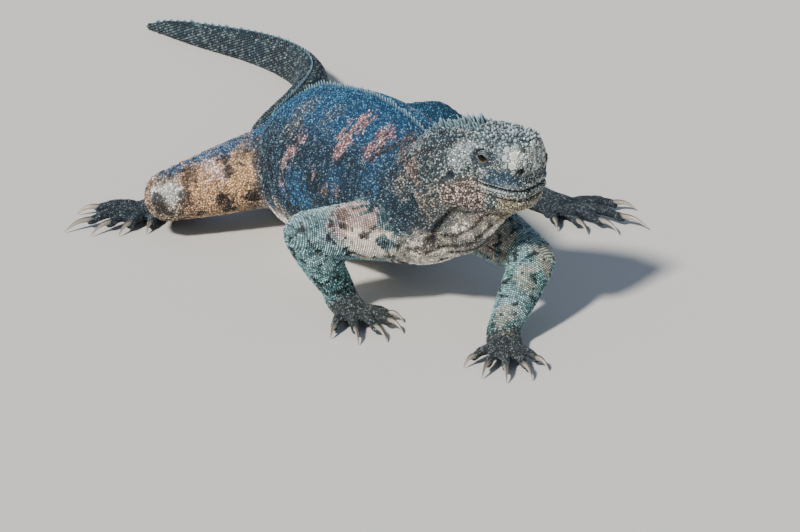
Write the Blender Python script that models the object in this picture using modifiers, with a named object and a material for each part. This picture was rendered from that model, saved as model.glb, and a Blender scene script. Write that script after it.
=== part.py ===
"""A life-size marine iguana, propped on its arms with its head turned to its left.

The animal faces +X, its left is +Y and it rests on the plane Z = 0. Sizes are in metres.
The flesh is lofted whole, smoothed into one skin, and then parted with thin flat cuts.
"""

import math
import random

import bmesh
import bpy
import numpy as np
from mathutils import Matrix, Vector
from mathutils.bvhtree import BVHTree

OBJECT_NAME = "marine_iguana"

# Driving sizes of the animal
CUT_GAP = 0.0003          # gap that parted pieces keep
SKIN_CELL = 0.0016        # grid of the skin while it is whole
SKIN_FACES = 7300         # triangles of the whole skin once it is simplified
SEED = 11
TAIL_LENGTH = 0.400
EYE_RADIUS = 0.0052

# Where the head sits and how it is turned
HEAD_BASE = Vector((0.2100, -0.0030, 0.1080))
HEAD_TURN = math.radians(29)
HEAD_NOD = math.radians(1)

# Joint centres of the limbs, as (x, y, z)
LIMB_JOINTS = {
    "arm_right": ((0.172, -0.030, 0.056), (0.168, -0.086, 0.061), (0.160, -0.056, 0.0125)),
    "arm_left": ((0.176, 0.030, 0.056), (0.232, 0.047, 0.042), (0.263, 0.008, 0.0125)),
    "leg_right": ((0.000, -0.024, 0.042), (-0.008, -0.098, 0.030), (-0.058, -0.062, 0.0130)),
    "leg_left": ((0.002, 0.024, 0.042), (0.014, 0.086, 0.056), (0.040, 0.140, 0.0130)),
}

# Where each limb is parted from the trunk, as a share of its upper bone
ROOT_CUTS = {"arm_right": 0.42, "arm_left": 0.50, "leg_right": 0.50, "leg_left": 0.60}

# Radii along a limb: root, middle of the upper bone, joint, middle of the lower bone, wrist
ARM_RADII = (0.0215, 0.0180, 0.0142, 0.0135, 0.0098)
LEG_RADII = (0.0270, 0.0230, 0.0170, 0.0150, 0.0105)

# Each foot: heading of its middle digit in degrees from +X, the length of its palm, and its
# digits as (angle from that heading, length with claw, rise of its arch)
FEET = {
    "hand_right": (-3, 0.019, (
        (46, 0.031, 0.0050), (24, 0.041, 0.0060), (4, 0.047, 0.0060), (-16, 0.046, 0.0060), (-38, 0.036, 0.0050),
    )),
    "hand_left": (-23, 0.019, (
        (-46, 0.031, 0.0050), (-21, 0.042, 0.0060), (-3, 0.048, 0.0060), (15, 0.046, 0.0060), (36, 0.036, 0.0050),
    )),
    "foot_right": (-73, 0.032, (
        (30, 0.030, 0.0040), (13, 0.042, 0.0050), (0, 0.054, 0.0060), (-13, 0.064, 0.0060), (-38, 0.046, 0.0050),
    )),
    "foot_left": (24, 0.032, (
        (-40, 0.030, 0.0045), (-21, 0.043, 0.0055), (-6, 0.056, 0.0060), (9, 0.066, 0.0060), (36, 0.048, 0.0050),
    )),
}
CLAW_SHARE = 0.36         # of a digit's length
DIGIT_RADIUS = (0.0042, 0.0037, 0.0031)  # at the knuckle, the middle and the claw's root
FLOOR_SINK = 0.0009       # how far round undersides pass the floor before they are cut flat

# The head in its own frame: the mouth line from its corner to the snout, the eye and the nostril
MOUTH_X = (0.0360, 0.0430, 0.0530, 0.0620, 0.0720)
MOUTH_Z = (0.0044, 0.0024, 0.0008, 0.0002, -0.0006)
EYE_SPOT = (0.0382, 0.0168, 0.0190)
NOSTRIL = (0.0640, 0.0150, 0.0140)
NOSTRIL_TURN = math.radians(40)  # how far each faces forward

# Large plates between the eye and the nostril: x, z, width and height
SNOUT_PLATES = (
    (0.0581, 0.0237, 0.0056, 0.0013), (0.0580, 0.0174, 0.0054, 0.0012), (0.0533, 0.0275, 0.0042, 0.0012),
)

# Crest spines: spacing, height, length and width of the root, and the backward lean
CREST = {
    "nape": (0.0045, 0.0085, 0.0044, 0.0030, 0.25),
    "neck": (0.0046, 0.0062, 0.0044, 0.0028, 0.30),
    "back": (0.0052, 0.0044, 0.0050, 0.0028, 0.40),
    "tail": (0.0082, 0.0048, 0.0064, 0.0028, 0.60),
}

# The tail's headings in degrees from +X at shares of its length, and where it is parted
TAIL_SHARES = (0.0, 0.10, 0.22, 0.42, 0.62, 0.78, 1.0)
TAIL_HEADINGS = (180, 158, 136, 143, 180, 204, 196)
TAIL_CUTS = (0.22, 0.46, 0.72)
TAIL_PARTS = ("tail_base", "tail_middle", "tail_rear", "tail_tip")

COLOURS = {
    "chest": (0.09, 0.14, 0.17), "rump": (0.09, 0.14, 0.17), "neck": (0.11, 0.15, 0.17),
    "head": (0.23, 0.25, 0.24), "lower_jaw": (0.18, 0.20, 0.20), "eye": (0.16, 0.10, 0.04), "tail": (0.07, 0.10, 0.12),
    "upper_arm": (0.12, 0.26, 0.24), "forearm": (0.10, 0.24, 0.22), "hand": (0.04, 0.05, 0.06),
    "thigh": (0.30, 0.22, 0.18), "shank": (0.10, 0.13, 0.16), "foot": (0.05, 0.06, 0.08),
    "claw": (0.20, 0.19, 0.17),
}


def unit(v):
    return Vector(v).normalized()


def clear_scene():
    for item in list(bpy.data.objects):
        bpy.data.objects.remove(item)


def smooth_rows(rows, steps):
    """Rows of numbers joined by a Catmull-Rom curve, with this many steps to a span."""
    rows = np.array(rows, float)
    padded = np.vstack([2 * rows[0] - rows[1], rows, 2 * rows[-1] - rows[-2]])
    found = []
    for i in range(1, len(padded) - 2):
        a, b, c, d = padded[i - 1], padded[i], padded[i + 1], padded[i + 2]
        for k in range(steps):
            t = k / steps
            found.append(
                0.5 * (2 * b + (c - a) * t + (2 * a - 5 * b + 4 * c - d) * t**2
                       + (3 * b - a - 3 * c + d) * t**3)
            )
    found.append(rows[-1])
    return np.array(found)


def tube(rows, sides=28, steps=4, up=(0, 0, 1), squareness=2.0, crown=None, blunt=(0.6, 0.6)):
    """A closed loft as (points, faces). A row is x, y, z, half width, rise above and drop below the centre.

    A crown under 2 peaks the upper half. blunt says how far each round end reaches past its last row,
    as a share of its half width.
    """
    rows = smooth_rows(rows, steps)
    centres = rows[:, :3]
    along = np.gradient(centres, axis=0)
    along /= np.linalg.norm(along, axis=1)[:, None]
    first, last = rows[0], rows[-1]
    cap_steps = 3
    start, end = [], []
    for k in range(1, cap_steps + 1):
        angle = k / (cap_steps + 1) * math.pi / 2
        ends = ((first, -along[0], blunt[0], start), (last, along[-1], blunt[1], end))
        for row, direction, reach, out in ends:
            ring = row.copy()
            ring[:3] += direction * reach * row[3] * math.sin(angle)
            ring[3:] *= math.cos(angle)
            out.append(ring)
    dense = np.vstack([start[::-1], rows, end])
    along = np.vstack([[along[0]] * cap_steps, along, [along[-1]] * cap_steps])
    up = np.array(up, float)
    points = []
    for row, direction in zip(dense, along):
        left = np.cross(up, direction)
        left /= np.linalg.norm(left)
        top = np.cross(direction, left)
        for k in range(sides):
            angle = 2 * math.pi * k / sides
            c, s = math.cos(angle), math.sin(angle)
            power = 2 / (crown if crown and s > 0 else squareness)
            c = math.copysign(abs(c) ** power, c)
            s = math.copysign(abs(s) ** power, s)
            points.append(row[:3] + left * row[3] * c + top * (row[4] if s > 0 else row[5]) * s)
    rings = len(dense)
    points.append(first[:3] - along[0] * blunt[0] * first[3])
    points.append(last[:3] + along[-1] * blunt[1] * last[3])
    faces = []
    for r in range(rings - 1):
        for k in range(sides):
            a, b = r * sides + k, r * sides + (k + 1) % sides
            faces.append((a, b, b + sides, a + sides))
    for k in range(sides):
        faces.append((rings * sides, (k + 1) % sides, k))
        faces.append((rings * sides + 1, (rings - 1) * sides + k, (rings - 1) * sides + (k + 1) % sides))
    return np.array(points), faces


def head_frame():
    """The head's own axes: origin at the back of the mouth line's level, X to the snout, Z up."""
    return (
        Matrix.Translation(HEAD_BASE)
        @ Matrix.Rotation(HEAD_TURN, 4, "Z")
        @ Matrix.Rotation(HEAD_NOD, 4, "Y")
    )


def placed(shape, matrix):
    points, faces = shape
    m = np.array(matrix)
    return points @ m[:3, :3].T + m[:3, 3], faces


def trunk():
    # x, y, z, half width, rise, drop
    return tube(
        [
            (-0.034, 0.000, 0.0290, 0.020, 0.020, 0.0260),
            (-0.012, 0.000, 0.0400, 0.036, 0.033, 0.0380),
            (0.010, 0.000, 0.0470, 0.045, 0.0440, 0.0475),
            (0.036, 0.000, 0.0520, 0.050, 0.0515, 0.0538),
            (0.068, 0.000, 0.0580, 0.052, 0.0537, 0.0568),
            (0.104, 0.000, 0.0640, 0.050, 0.0548, 0.0520),
            (0.140, 0.000, 0.0690, 0.045, 0.0516, 0.0500),
            (0.170, 0.000, 0.0740, 0.039, 0.0455, 0.0460),
            (0.190, 0.000, 0.0800, 0.034, 0.0390, 0.0400),
        ],
        sides=36,
        crown=1.65,
    )


def neck():
    base = HEAD_BASE
    return tube(
        [
            (0.160, 0.000, 0.0760, 0.032, 0.038, 0.0380),
            (0.182, 0.000, 0.0860, 0.031, 0.033, 0.0400),
            (0.198, -0.001, 0.0960, 0.029, 0.029, 0.0360),
            (base.x + 0.004, base.y + 0.003, base.z, 0.0265, 0.0285, 0.0320),
            (base.x + 0.020, base.y + 0.012, base.z, 0.024, 0.024, 0.0250),
        ],
        sides=32,
        crown=1.75,
    )


def throat():
    """The loose skin that hangs from the lower jaw to the chest."""
    return tube(
        [
            (0.2476, 0.0191, 0.0953, 0.011, 0.010, 0.0120),
            (0.2365, 0.0134, 0.0902, 0.015, 0.012, 0.0160),
            (0.2261, 0.0080, 0.0800, 0.016, 0.014, 0.0190),
            (0.2175, 0.0033, 0.0699, 0.014, 0.014, 0.0200),
            (0.2000, -0.0005, 0.0600, 0.014, 0.014, 0.0190),
        ],
        sides=24,
    )


def skull():
    """The head in its own frame: x from the back of the head, z from the mouth line."""
    rows = []
    for x, half_width, top, bottom in (
        (-0.0040, 0.0240, 0.0265, -0.0260),
        (0.0130, 0.0258, 0.0308, -0.0260),
        (0.0270, 0.0252, 0.0334, -0.0235),
        (0.0390, 0.0232, 0.0348, -0.0215),
        (0.0490, 0.0208, 0.0350, -0.0192),
        (0.0570, 0.0190, 0.0344, -0.0172),
        (0.0620, 0.0172, 0.0326, -0.0150),
    ):
        middle = (top + bottom) / 2
        rows.append((x, 0, middle, half_width, top - middle, middle - bottom))
    return placed(tube(rows, sides=32, squareness=2.6, blunt=(0.5, 0.18)), head_frame())


def tail_line(t):
    """The tail's centre on the floor plan, at a share t of its length, along headings that swing twice."""
    points = 60
    x, y = -0.030, 0.0
    for k in range(round(t * points)):
        heading = math.radians(np.interp((k + 0.5) / points, TAIL_SHARES, TAIL_HEADINGS))
        x += math.cos(heading) * TAIL_LENGTH / points
        y += math.sin(heading) * TAIL_LENGTH / points
    return x, y


def tail():
    rows = [(0.010, 0.0, 0.0300, 0.026, 0.024, 0.028)]
    spans = 12
    for k in range(spans + 1):
        t = k / spans
        x, y = tail_line(t)
        half_width = 0.0175 * (1 - t) ** 0.85 + 0.0016
        half_height = 0.0195 * (1 - t) ** 0.55 + 0.0026
        height = max(half_height - FLOOR_SINK, 0.0250 * (1 - t / 0.10))
        rows.append((x, y, height, half_width, half_height, half_height))
    return tube(rows, sides=24, steps=4)


def limb(name, radii):
    """Upper and lower bone as two overlapping lofts."""
    root, middle, end = (Vector(p) for p in LIMB_JOINTS[name])
    upper = [(*root.lerp(middle, t), r, r, r) for t, r in ((0.0, radii[0]), (0.5, radii[1]), (1.0, radii[2]))]
    lower = [(*middle.lerp(end, t), r, r, r) for t, r in ((0.0, radii[2]), (0.45, radii[3]), (1.0, radii[4]))]
    made = []
    for rows in (upper, lower):
        lie = unit(Vector(rows[-1][:3]) - Vector(rows[0][:3]))
        up = (0, 0, 1) if abs(lie.z) < 0.8 else (1, 0, 0)
        made.append(tube(rows, sides=22, steps=3, up=up, blunt=(0.9, 0.8)))
    return made


def digit_line(foot, number, t):
    """A point on a digit's centre line, t from its knuckle at 0 to its claw's tip at 1."""
    heading, palm, digits = FEET[foot]
    wrist = limb_end(foot)
    angle, length, arch = digits[number]
    forward = math.radians(heading)
    spread = math.radians(heading + angle)
    knuckle = wrist + Vector((math.cos(forward), math.sin(forward), 0)) * palm * 0.55
    knuckle += Vector((math.cos(spread), math.sin(spread), 0)) * palm * 0.45
    along = Vector((math.cos(spread), math.sin(spread), 0)) * length * t
    rest = DIGIT_RADIUS[0] - FLOOR_SINK
    height = rest + arch * math.sin(math.pi * min(1.0, t * 1.12)) * (1 - 0.35 * t)
    height -= rest * max(0.0, t - 0.25) ** 1.3 * 1.32
    return Vector((knuckle.x, knuckle.y, height)) + along


def limb_end(foot):
    side = foot.split("_")[1]
    limb_name = ("arm_" if foot.startswith("hand") else "leg_") + side
    return Vector(LIMB_JOINTS[limb_name][2])


def foot_shapes(foot):
    """The palm and the flesh of the digits."""
    heading, palm, digits = FEET[foot]
    wrist = limb_end(foot)
    forward = Vector((math.cos(math.radians(heading)), math.sin(math.radians(heading)), 0))
    width = 0.0120 if foot.startswith("hand") else 0.0125
    thick = 0.0066
    rows = []
    for t, share in ((-0.35, 0.80), (0.0, 0.92), (0.55, 1.0), (1.0, 1.0)):
        spot = wrist + forward * palm * t
        level = wrist.z + (thick - FLOOR_SINK - wrist.z) * min(1.0, max(0.0, t + 0.35))
        rows.append((spot.x, spot.y, level, width * share, thick, level + FLOOR_SINK if t < 0.3 else thick))
    made = [tube(rows, sides=20, steps=3)]
    for number in range(len(digits)):
        line = []
        for k in range(7):
            t = k / 6 * (1 - CLAW_SHARE + 0.05)
            r = np.interp(t, (0, 0.4, 1 - CLAW_SHARE), DIGIT_RADIUS)
            line.append((*digit_line(foot, number, t), r, r, r))
        made.append(tube(line, sides=14, steps=2, blunt=(0.8, 0.7)))
    return made


def mesh_object(name, shape, home="cutters"):
    """An object made from points and faces, in the named collection."""
    points, faces = shape
    mesh = bpy.data.meshes.new(name)
    mesh.from_pydata([tuple(p) for p in points], [], [tuple(f) for f in faces])
    mesh.update()
    made = bpy.data.objects.new(name, mesh)
    bpy.data.collections[home].objects.link(made)
    return made


def joined(shapes):
    points, faces, offset = [], [], 0
    for shape_points, shape_faces in shapes:
        points.extend(shape_points)
        faces.extend(tuple(i + offset for i in f) for f in shape_faces)
        offset += len(shape_points)
    return points, faces


def applied(made):
    """Replaces an object's mesh by what its modifiers make of it."""
    graph = bpy.context.evaluated_depsgraph_get()
    mesh = bpy.data.meshes.new_from_object(made.evaluated_get(graph))
    made.modifiers.clear()
    made.data = mesh
    return made


def coordinates(mesh):
    points = np.empty(len(mesh.vertices) * 3)
    mesh.vertices.foreach_get("co", points)
    return points.reshape(-1, 3)


def moved_to(mesh, points):
    mesh.vertices.foreach_set("co", np.asarray(points).ravel())
    mesh.update()


def relaxed(made, rounds, strength_at):
    """Moves each vertex towards its neighbours, as strongly as strength_at says for its place."""
    mesh = made.data
    points = coordinates(mesh)
    count = len(points)
    edges = np.empty(len(mesh.edges) * 2, int)
    mesh.edges.foreach_get("vertices", edges)
    edges = edges.reshape(-1, 2)
    degree = np.bincount(edges.ravel(), minlength=count)[:, None]
    strength = strength_at(points)[:, None]
    for _ in range(rounds):
        total = np.zeros_like(points)
        for axis in range(3):
            total[:, axis] = np.bincount(edges[:, 0], points[edges[:, 1], axis], count)
            total[:, axis] += np.bincount(edges[:, 1], points[edges[:, 0], axis], count)
        points += strength * (total / degree - points)
    moved_to(mesh, points)


def near(points, spot, reach):
    """1 at the spot, fading to nothing over the reach."""
    distance = np.linalg.norm(points - np.array(spot), axis=1)
    return np.exp(-((distance / reach) ** 2))


def joint_strength(points):
    """Strong near the roots of the limbs and the neck, weak elsewhere."""
    strength = np.zeros(len(points))
    for joints in LIMB_JOINTS.values():
        root = Vector(joints[0]).lerp(Vector(joints[1]), 0.35)
        strength = np.maximum(strength, near(points, root, 0.034))
    for spot, reach in (((0.190, 0.0, 0.085), 0.036), (HEAD_BASE, 0.022), ((-0.02, 0, 0.03), 0.03)):
        strength = np.maximum(strength, near(points, spot, reach))
    return strength * 0.9


def shape_head(skin):
    """Cheeks, brows, eye and ear hollows, nostril rims and lips, raised or sunk along the normals."""
    mesh = skin.data
    points = coordinates(mesh)
    normals = np.empty(len(points) * 3)
    mesh.vertices.foreach_get("normal", normals)
    normals = normals.reshape(-1, 3)
    back = np.array(head_frame().inverted())
    local = points @ back[:3, :3].T + back[:3, 3]
    sided = np.column_stack([local[:, 0], np.abs(local[:, 1]), local[:, 2]])
    lift = 0.0024 * near(sided, (0.012, 0.027, -0.010), 0.011)
    lift += 0.0016 * near(sided, (0.037, 0.021, 0.0268), 0.0065)
    lift += 0.0012 * near(sided, (0.027, 0.023, 0.0252), 0.0065)
    lift -= 0.0006 * near(sided, (0.039, 0.022, 0.0182), 0.0060)
    lift += 0.0012 * near(sided, (0.039, 0.022, 0.0090), 0.0060)
    lift -= 0.0010 * near(sided, (0.051, 0.021, 0.0140), 0.0065)
    lift += 0.0010 * near(sided, (0.0635, 0.0150, 0.0145), 0.0045)
    lift -= 0.0015 * near(sided, (0.0170, 0.0250, 0.0038), 0.0038)
    lift += 0.0009 * near(sided, (0.0118, 0.0255, 0.0042), 0.0036)
    jaw = np.clip((local[:, 0] - 0.033) / 0.010, 0, 1)
    lift += 0.0009 * jaw * np.exp(-(((local[:, 2] - mouth_height(local[:, 0]) - 0.0030) / 0.0018) ** 2))
    lift += 0.0009 * jaw * np.exp(-(((local[:, 2] - mouth_height(local[:, 0]) + 0.0032) / 0.0018) ** 2))
    lift -= 0.0010 * jaw * np.exp(-(((local[:, 2] - mouth_height(local[:, 0])) / 0.0012) ** 2))
    moved_to(mesh, points + normals * lift[:, None])


def mouth_height(x):
    """Height of the mouth line over the head's own X axis, which it crosses near the lip's corner."""
    return np.interp(x, MOUTH_X, MOUTH_Z)


def whole_skin():
    shapes = [trunk(), neck(), throat(), skull(), tail()]
    for name in LIMB_JOINTS:
        shapes += limb(name, ARM_RADII if name.startswith("arm") else LEG_RADII)
    for foot in FEET:
        shapes += foot_shapes(foot)
    skin = mesh_object("skin", joined(shapes))
    remesh = skin.modifiers.new("whole", "REMESH")
    remesh.mode = "VOXEL"
    remesh.voxel_size = SKIN_CELL
    applied(skin)
    relaxed(skin, 14, joint_strength)
    relaxed(skin, 3, lambda points: np.full(len(points), 0.5))
    shape_head(skin)
    return skin


def simplified(skin):
    """Fewer, larger faces, but for the head and the feet, which keep more of theirs."""
    points = coordinates(skin.data)
    keep = 0.38 * near(points, head_frame() @ Vector((0.045, 0, 0.006)), 0.040)
    for foot in FEET:
        heading = math.radians(FEET[foot][0])
        middle = limb_end(foot) + Vector((math.cos(heading), math.sin(heading), 0)) * 0.035
        keep = np.maximum(keep, 0.24 * near(points, middle, 0.036))
    group = skin.vertex_groups.new(name="keep")
    for level in range(1, 11):
        chosen = np.nonzero(np.round(keep * 10) == level)[0]
        group.add(chosen.tolist(), level / 10, "REPLACE")
    fewer = skin.modifiers.new("fewer", "DECIMATE")
    fewer.ratio = SKIN_FACES / (2 * len(skin.data.polygons))
    fewer.vertex_group = group.name
    fewer.invert_vertex_group = True
    fewer.vertex_group_factor = 1.0
    applied(skin)


def primitive(make):
    """The points and faces of a closed shape that bmesh tools make."""
    bm = bmesh.new()
    make(bm)
    bm.verts.index_update()
    points = np.array([tuple(v.co) for v in bm.verts])
    faces = [tuple(v.index for v in face.verts) for face in bm.faces]
    bm.free()
    return points, faces


def frame_at(centre, normal, up=(0, 0, 1)):
    """Axes at a point with Z along the normal and Y as near to up as that allows."""
    z = unit(normal)
    x = unit(Vector(up).cross(z))
    axes = Matrix((x, z.cross(x), z)).transposed().to_4x4()
    return Matrix.Translation(Vector(centre)) @ axes


def disc(centre, normal, width, height, up=(0, 0, 1), squareness=2.0):
    """A thin flat ellipse, or with more squareness a rounded square, that parts whatever crosses it."""
    def make(bm):
        bmesh.ops.create_cone(bm, cap_ends=True, segments=24, radius1=1, radius2=1, depth=CUT_GAP)
        for vert in bm.verts:
            for axis, size in ((0, width), (1, height)):
                share = vert.co[axis]
                vert.co[axis] = math.copysign(abs(share) ** (2 / squareness), share) * size

    return placed(primitive(make), frame_at(centre, normal, up))


def fold_disc(spot, before, after, radius):
    """A cut across a bent joint that reaches as far into the bend as the flesh meets there."""
    fold = unit(after - before)
    opening = before.angle(-after)
    reach = min(max(1.6 * radius / math.tan(opening / 2), 1.6 * radius), 0.056)
    middle = Vector(spot) + fold * (reach - 1.6 * radius) / 2
    return disc(middle, before + after, 1.6 * radius, (reach + 1.6 * radius) / 2, fold, 5.0)


def block(low, high):
    low, high = Vector(low), Vector(high)
    place = Matrix.Translation((low + high) / 2) @ Matrix.Diagonal((*(high - low), 1))
    return primitive(lambda bm: bmesh.ops.create_cube(bm, size=1, matrix=place))


def jaw_sheet():
    """A thin sheet that follows the mouth line and then drops behind the lower jaw."""
    path = [(0.090, MOUTH_Z[-1])] + list(zip(MOUTH_X[::-1], MOUTH_Z[::-1])) + [(0.031, -0.020), (0.0385, -0.042)]
    half = CUT_GAP / 2
    top, bottom = [], []
    for k, (x, z) in enumerate(path):
        ahead = Vector(path[min(k + 1, len(path) - 1)]) - Vector(path[max(k - 1, 0)])
        side = Vector((-ahead.y, ahead.x)).normalized() * half
        top.append((x + side.x, z + side.y))
        bottom.append((x - side.x, z - side.y))
    outline = top + bottom[::-1]
    count = len(outline)
    points = [(x, y, z) for y in (-0.034, 0.034) for x, z in outline]
    faces = []
    for k in range(count):
        n = (k + 1) % count
        faces.append((k, n, n + count, k + count))
    for k in range(len(path) - 1):
        a, b, c, d = k, k + 1, count - 2 - k, count - 1 - k
        faces.append((d, c, b, a))
        faces.append((a + count, b + count, c + count, d + count))
    return placed((np.array(points), faces), head_frame())


def bone(name, number, t):
    """A point on a limb's upper (0) or lower (1) bone, and the bone's direction."""
    a, b = (Vector(p) for p in LIMB_JOINTS[name][number:number + 2])
    return a.lerp(b, t), (b - a).normalized()


def digit_end(foot, number):
    """Where a digit's flesh ends, and the way its claw points."""
    t = 1 - CLAW_SHARE
    spot = digit_line(foot, number, t)
    return spot, (spot - digit_line(foot, number, t - 0.08)).normalized()


def parting_cuts():
    """Every cut between two parts, and the level cut that gives the undersides their flats."""
    cuts = [
        block((-0.8, -0.5, -0.1), (0.6, 0.5, 0.0)),
        disc((0.196, 0.0, 0.093), (0.807, 0.0, 0.59), 0.040, 0.056),
        placed(disc((0.006, 0, 0), (math.cos(0.35), 0, math.sin(0.35)), 0.036, 0.058), head_frame()),
        disc((-0.040, 0.0, 0.028), (1, 0, 0), 0.029, 0.034),
        disc((0.092, 0.0, 0.060), (1, 0, -0.15), 0.070, 0.075),
        jaw_sheet(),
    ]
    for t in TAIL_CUTS:
        spot, ahead = Vector((*tail_line(t), 0.016)), Vector((*tail_line(t + 0.02), 0.016))
        cuts.append(disc(spot, ahead - spot, 0.026, 0.030))
    for name in LIMB_JOINTS:
        radii = ARM_RADII if name.startswith("arm") else LEG_RADII
        kind, side = name.split("_")
        heading = math.radians(FEET[("hand_" if kind == "arm" else "foot_") + side][0])
        root, along_upper = bone(name, 0, ROOT_CUTS[name])
        joint, along_lower = bone(name, 1, 0.0)
        end, _ = bone(name, 1, 0.96)
        cuts.append(disc(root, along_upper, radii[0] * 1.22, radii[0] * 1.22, (1, 0, 0), 3.0))
        cuts.append(fold_disc(joint, along_upper, along_lower, radii[2]))
        ahead = Vector((math.cos(heading), math.sin(heading), 0))
        cuts.append(fold_disc(end, along_lower, ahead, radii[4] * 1.4))
    for foot in FEET:
        for number in range(5):
            spot, ahead = digit_end(foot, number)
            cuts.append(disc(spot, ahead, 0.0050, 0.0062))
    return cuts


def seeds():
    """A point inside each part of the flesh."""
    frame = head_frame()
    found = {
        "chest": Vector((0.14, 0, 0.065)),
        "rump": Vector((0.04, 0, 0.050)),
        "neck": HEAD_BASE + Vector((-0.004, 0.0, 0.0)),
        "head": frame @ Vector((0.030, 0, 0.012)),
        "lower_jaw": frame @ Vector((0.053, 0, -0.008)),
    }
    stops = (0.03,) + TAIL_CUTS + (0.99,)
    for k, name in enumerate(TAIL_PARTS):
        middle = (stops[k] + stops[k + 1]) / 2
        found[name] = Vector((*tail_line(middle), 0.012 * (1 - middle) + 0.002))
    for name in LIMB_JOINTS:
        kind, side = name.split("_")
        upper, lower = ("upper_arm", "forearm") if kind == "arm" else ("thigh", "shank")
        found[f"{upper}_{side}"] = bone(name, 0, 0.7)[0]
        found[f"{lower}_{side}"] = bone(name, 1, 0.45)[0]
    for foot in FEET:
        heading = math.radians(FEET[foot][0])
        found[foot] = limb_end(foot) + Vector((math.cos(heading) * 0.010, math.sin(heading) * 0.010, -0.006))
    return found


def cut(target, cutters, operation="DIFFERENCE"):
    """One Boolean of the target with every given closed shape, applied; the shapes are then removed."""
    group = bpy.data.collections.new("tools")
    bpy.data.collections["cutters"].children.link(group)
    made = [mesh_object(f"tool_{k}", shape) for k, shape in enumerate(cutters)]
    for item in made:
        bpy.data.collections["cutters"].objects.unlink(item)
        group.objects.link(item)
        item.display_type = "WIRE"
        item.hide_render = True
    boolean = target.modifiers.new("boolean", "BOOLEAN")
    boolean.operation = operation
    boolean.operand_type = "COLLECTION"
    boolean.collection = group
    boolean.solver = "MANIFOLD"
    applied(target)
    for item in made:
        bpy.data.objects.remove(item)
    bpy.data.collections.remove(group)
    return target


def islands(mesh):
    """The separate closed surfaces of a mesh, as lists of faces."""
    bm = bmesh.new()
    bm.from_mesh(mesh)
    bm.faces.ensure_lookup_table()
    seen = set()
    found = []
    for face in bm.faces:
        if face.index in seen:
            continue
        seen.add(face.index)
        stack, group = [face], []
        while stack:
            f = stack.pop()
            group.append(f.index)
            for edge in f.edges:
                for other in edge.link_faces:
                    if other.index not in seen:
                        seen.add(other.index)
                        stack.append(other)
        found.append(group)
    bm.free()
    return found


def piece(mesh, faces):
    """The points and faces of one island."""
    points = coordinates(mesh)
    polygons = [tuple(mesh.polygons[i].vertices) for i in faces]
    used = sorted({v for polygon in polygons for v in polygon})
    renumbered = {old: new for new, old in enumerate(used)}
    return points[used], [tuple(renumbered[v] for v in polygon) for polygon in polygons]


def inside(shape, spot):
    """Whether a point lies within a closed shape, by the crossings above it."""
    tree = BVHTree.FromPolygons([tuple(p) for p in shape[0]], shape[1])
    direction = Vector((0.031, 0.017, 1.0)).normalized()
    crossings, start = 0, Vector(spot)
    while True:
        hit = tree.ray_cast(start, direction)
        if hit[0] is None:
            return crossings % 2 == 1
        crossings += 1
        start = hit[0] + direction * 1e-6


def volume(shape):
    total = 0.0
    points = [Vector(p) for p in shape[0]]
    for face in shape[1]:
        for k in range(1, len(face) - 1):
            total += points[face[0]].dot(points[face[k]].cross(points[face[k + 1]])) / 6
    return total


def largest(target):
    """Keeps only an object's largest closed surface."""
    mesh = target.data
    groups = islands(mesh)
    if len(groups) > 1:
        best = max((piece(mesh, faces) for faces in groups), key=volume)
        target.data = mesh_from(target.name, best)
    return target


def mesh_from(name, shape):
    mesh = bpy.data.meshes.new(name)
    mesh.from_pydata([tuple(p) for p in shape[0]], [], [tuple(f) for f in shape[1]])
    mesh.update()
    return mesh


def parted(skin):
    """Cuts the skin into its parts and names them."""
    cut(skin, parting_cuts())
    mesh = skin.data
    pieces = [piece(mesh, faces) for faces in islands(mesh) if len(faces) > 8]
    for name, spot in seeds().items():
        mine = [shape for shape in pieces if inside(shape, spot)]
        mesh_object(name, max(mine, key=volume), OBJECT_NAME)
    bpy.data.objects.remove(skin)


def claw(foot, number):
    """A curved, tapering claw, a gap's width in front of its digit."""
    spot, ahead = digit_end(foot, number)
    length = FEET[foot][2][number][1] * CLAW_SHARE
    level = unit((ahead.x, ahead.y, 0))
    start = spot + ahead * CUT_GAP * 1.5
    rings, sides = 6, 7
    points, faces = [], []
    for r in range(rings):
        t = r / rings
        bow = math.sin(math.pi * t)
        centre = start + level * length * (t + 0.02 * bow) + Vector((0, 0, 0.0016 * bow))
        centre.z -= (start.z - 0.0006) * t**2.2
        slope = unit(level + Vector((0, 0, 0.55 - 1.5 * t))) if r else ahead
        left = unit(Vector((0, 0, 1)).cross(slope))
        top = slope.cross(left)
        size = (1 - t) ** 0.75
        for k in range(sides):
            angle = 2 * math.pi * k / sides
            across, rise = 0.0019 * size * math.cos(angle), 0.0024 * size * math.sin(angle)
            points.append(centre + left * across + top * rise)
    points.append(Vector((start.x, start.y, 0.0006)) + level * length)
    for r in range(rings - 1):
        for k in range(sides):
            a, b = r * sides + k, r * sides + (k + 1) % sides
            faces.append((a, b, b + sides, a + sides))
    faces.append(tuple(range(sides - 1, -1, -1)))
    for k in range(sides):
        faces.append(((rings - 1) * sides + k, (rings - 1) * sides + (k + 1) % sides, len(points) - 1))
    low = min(p.z for p in points)
    points = [p + Vector((0, 0, max(0.0, 0.0002 - low))) for p in points]
    return points, faces


def ball(centre, radius):
    place = Matrix.Translation(Vector(centre))
    return primitive(
        lambda bm: bmesh.ops.create_uvsphere(bm, u_segments=14, v_segments=8, radius=radius, matrix=place))


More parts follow.
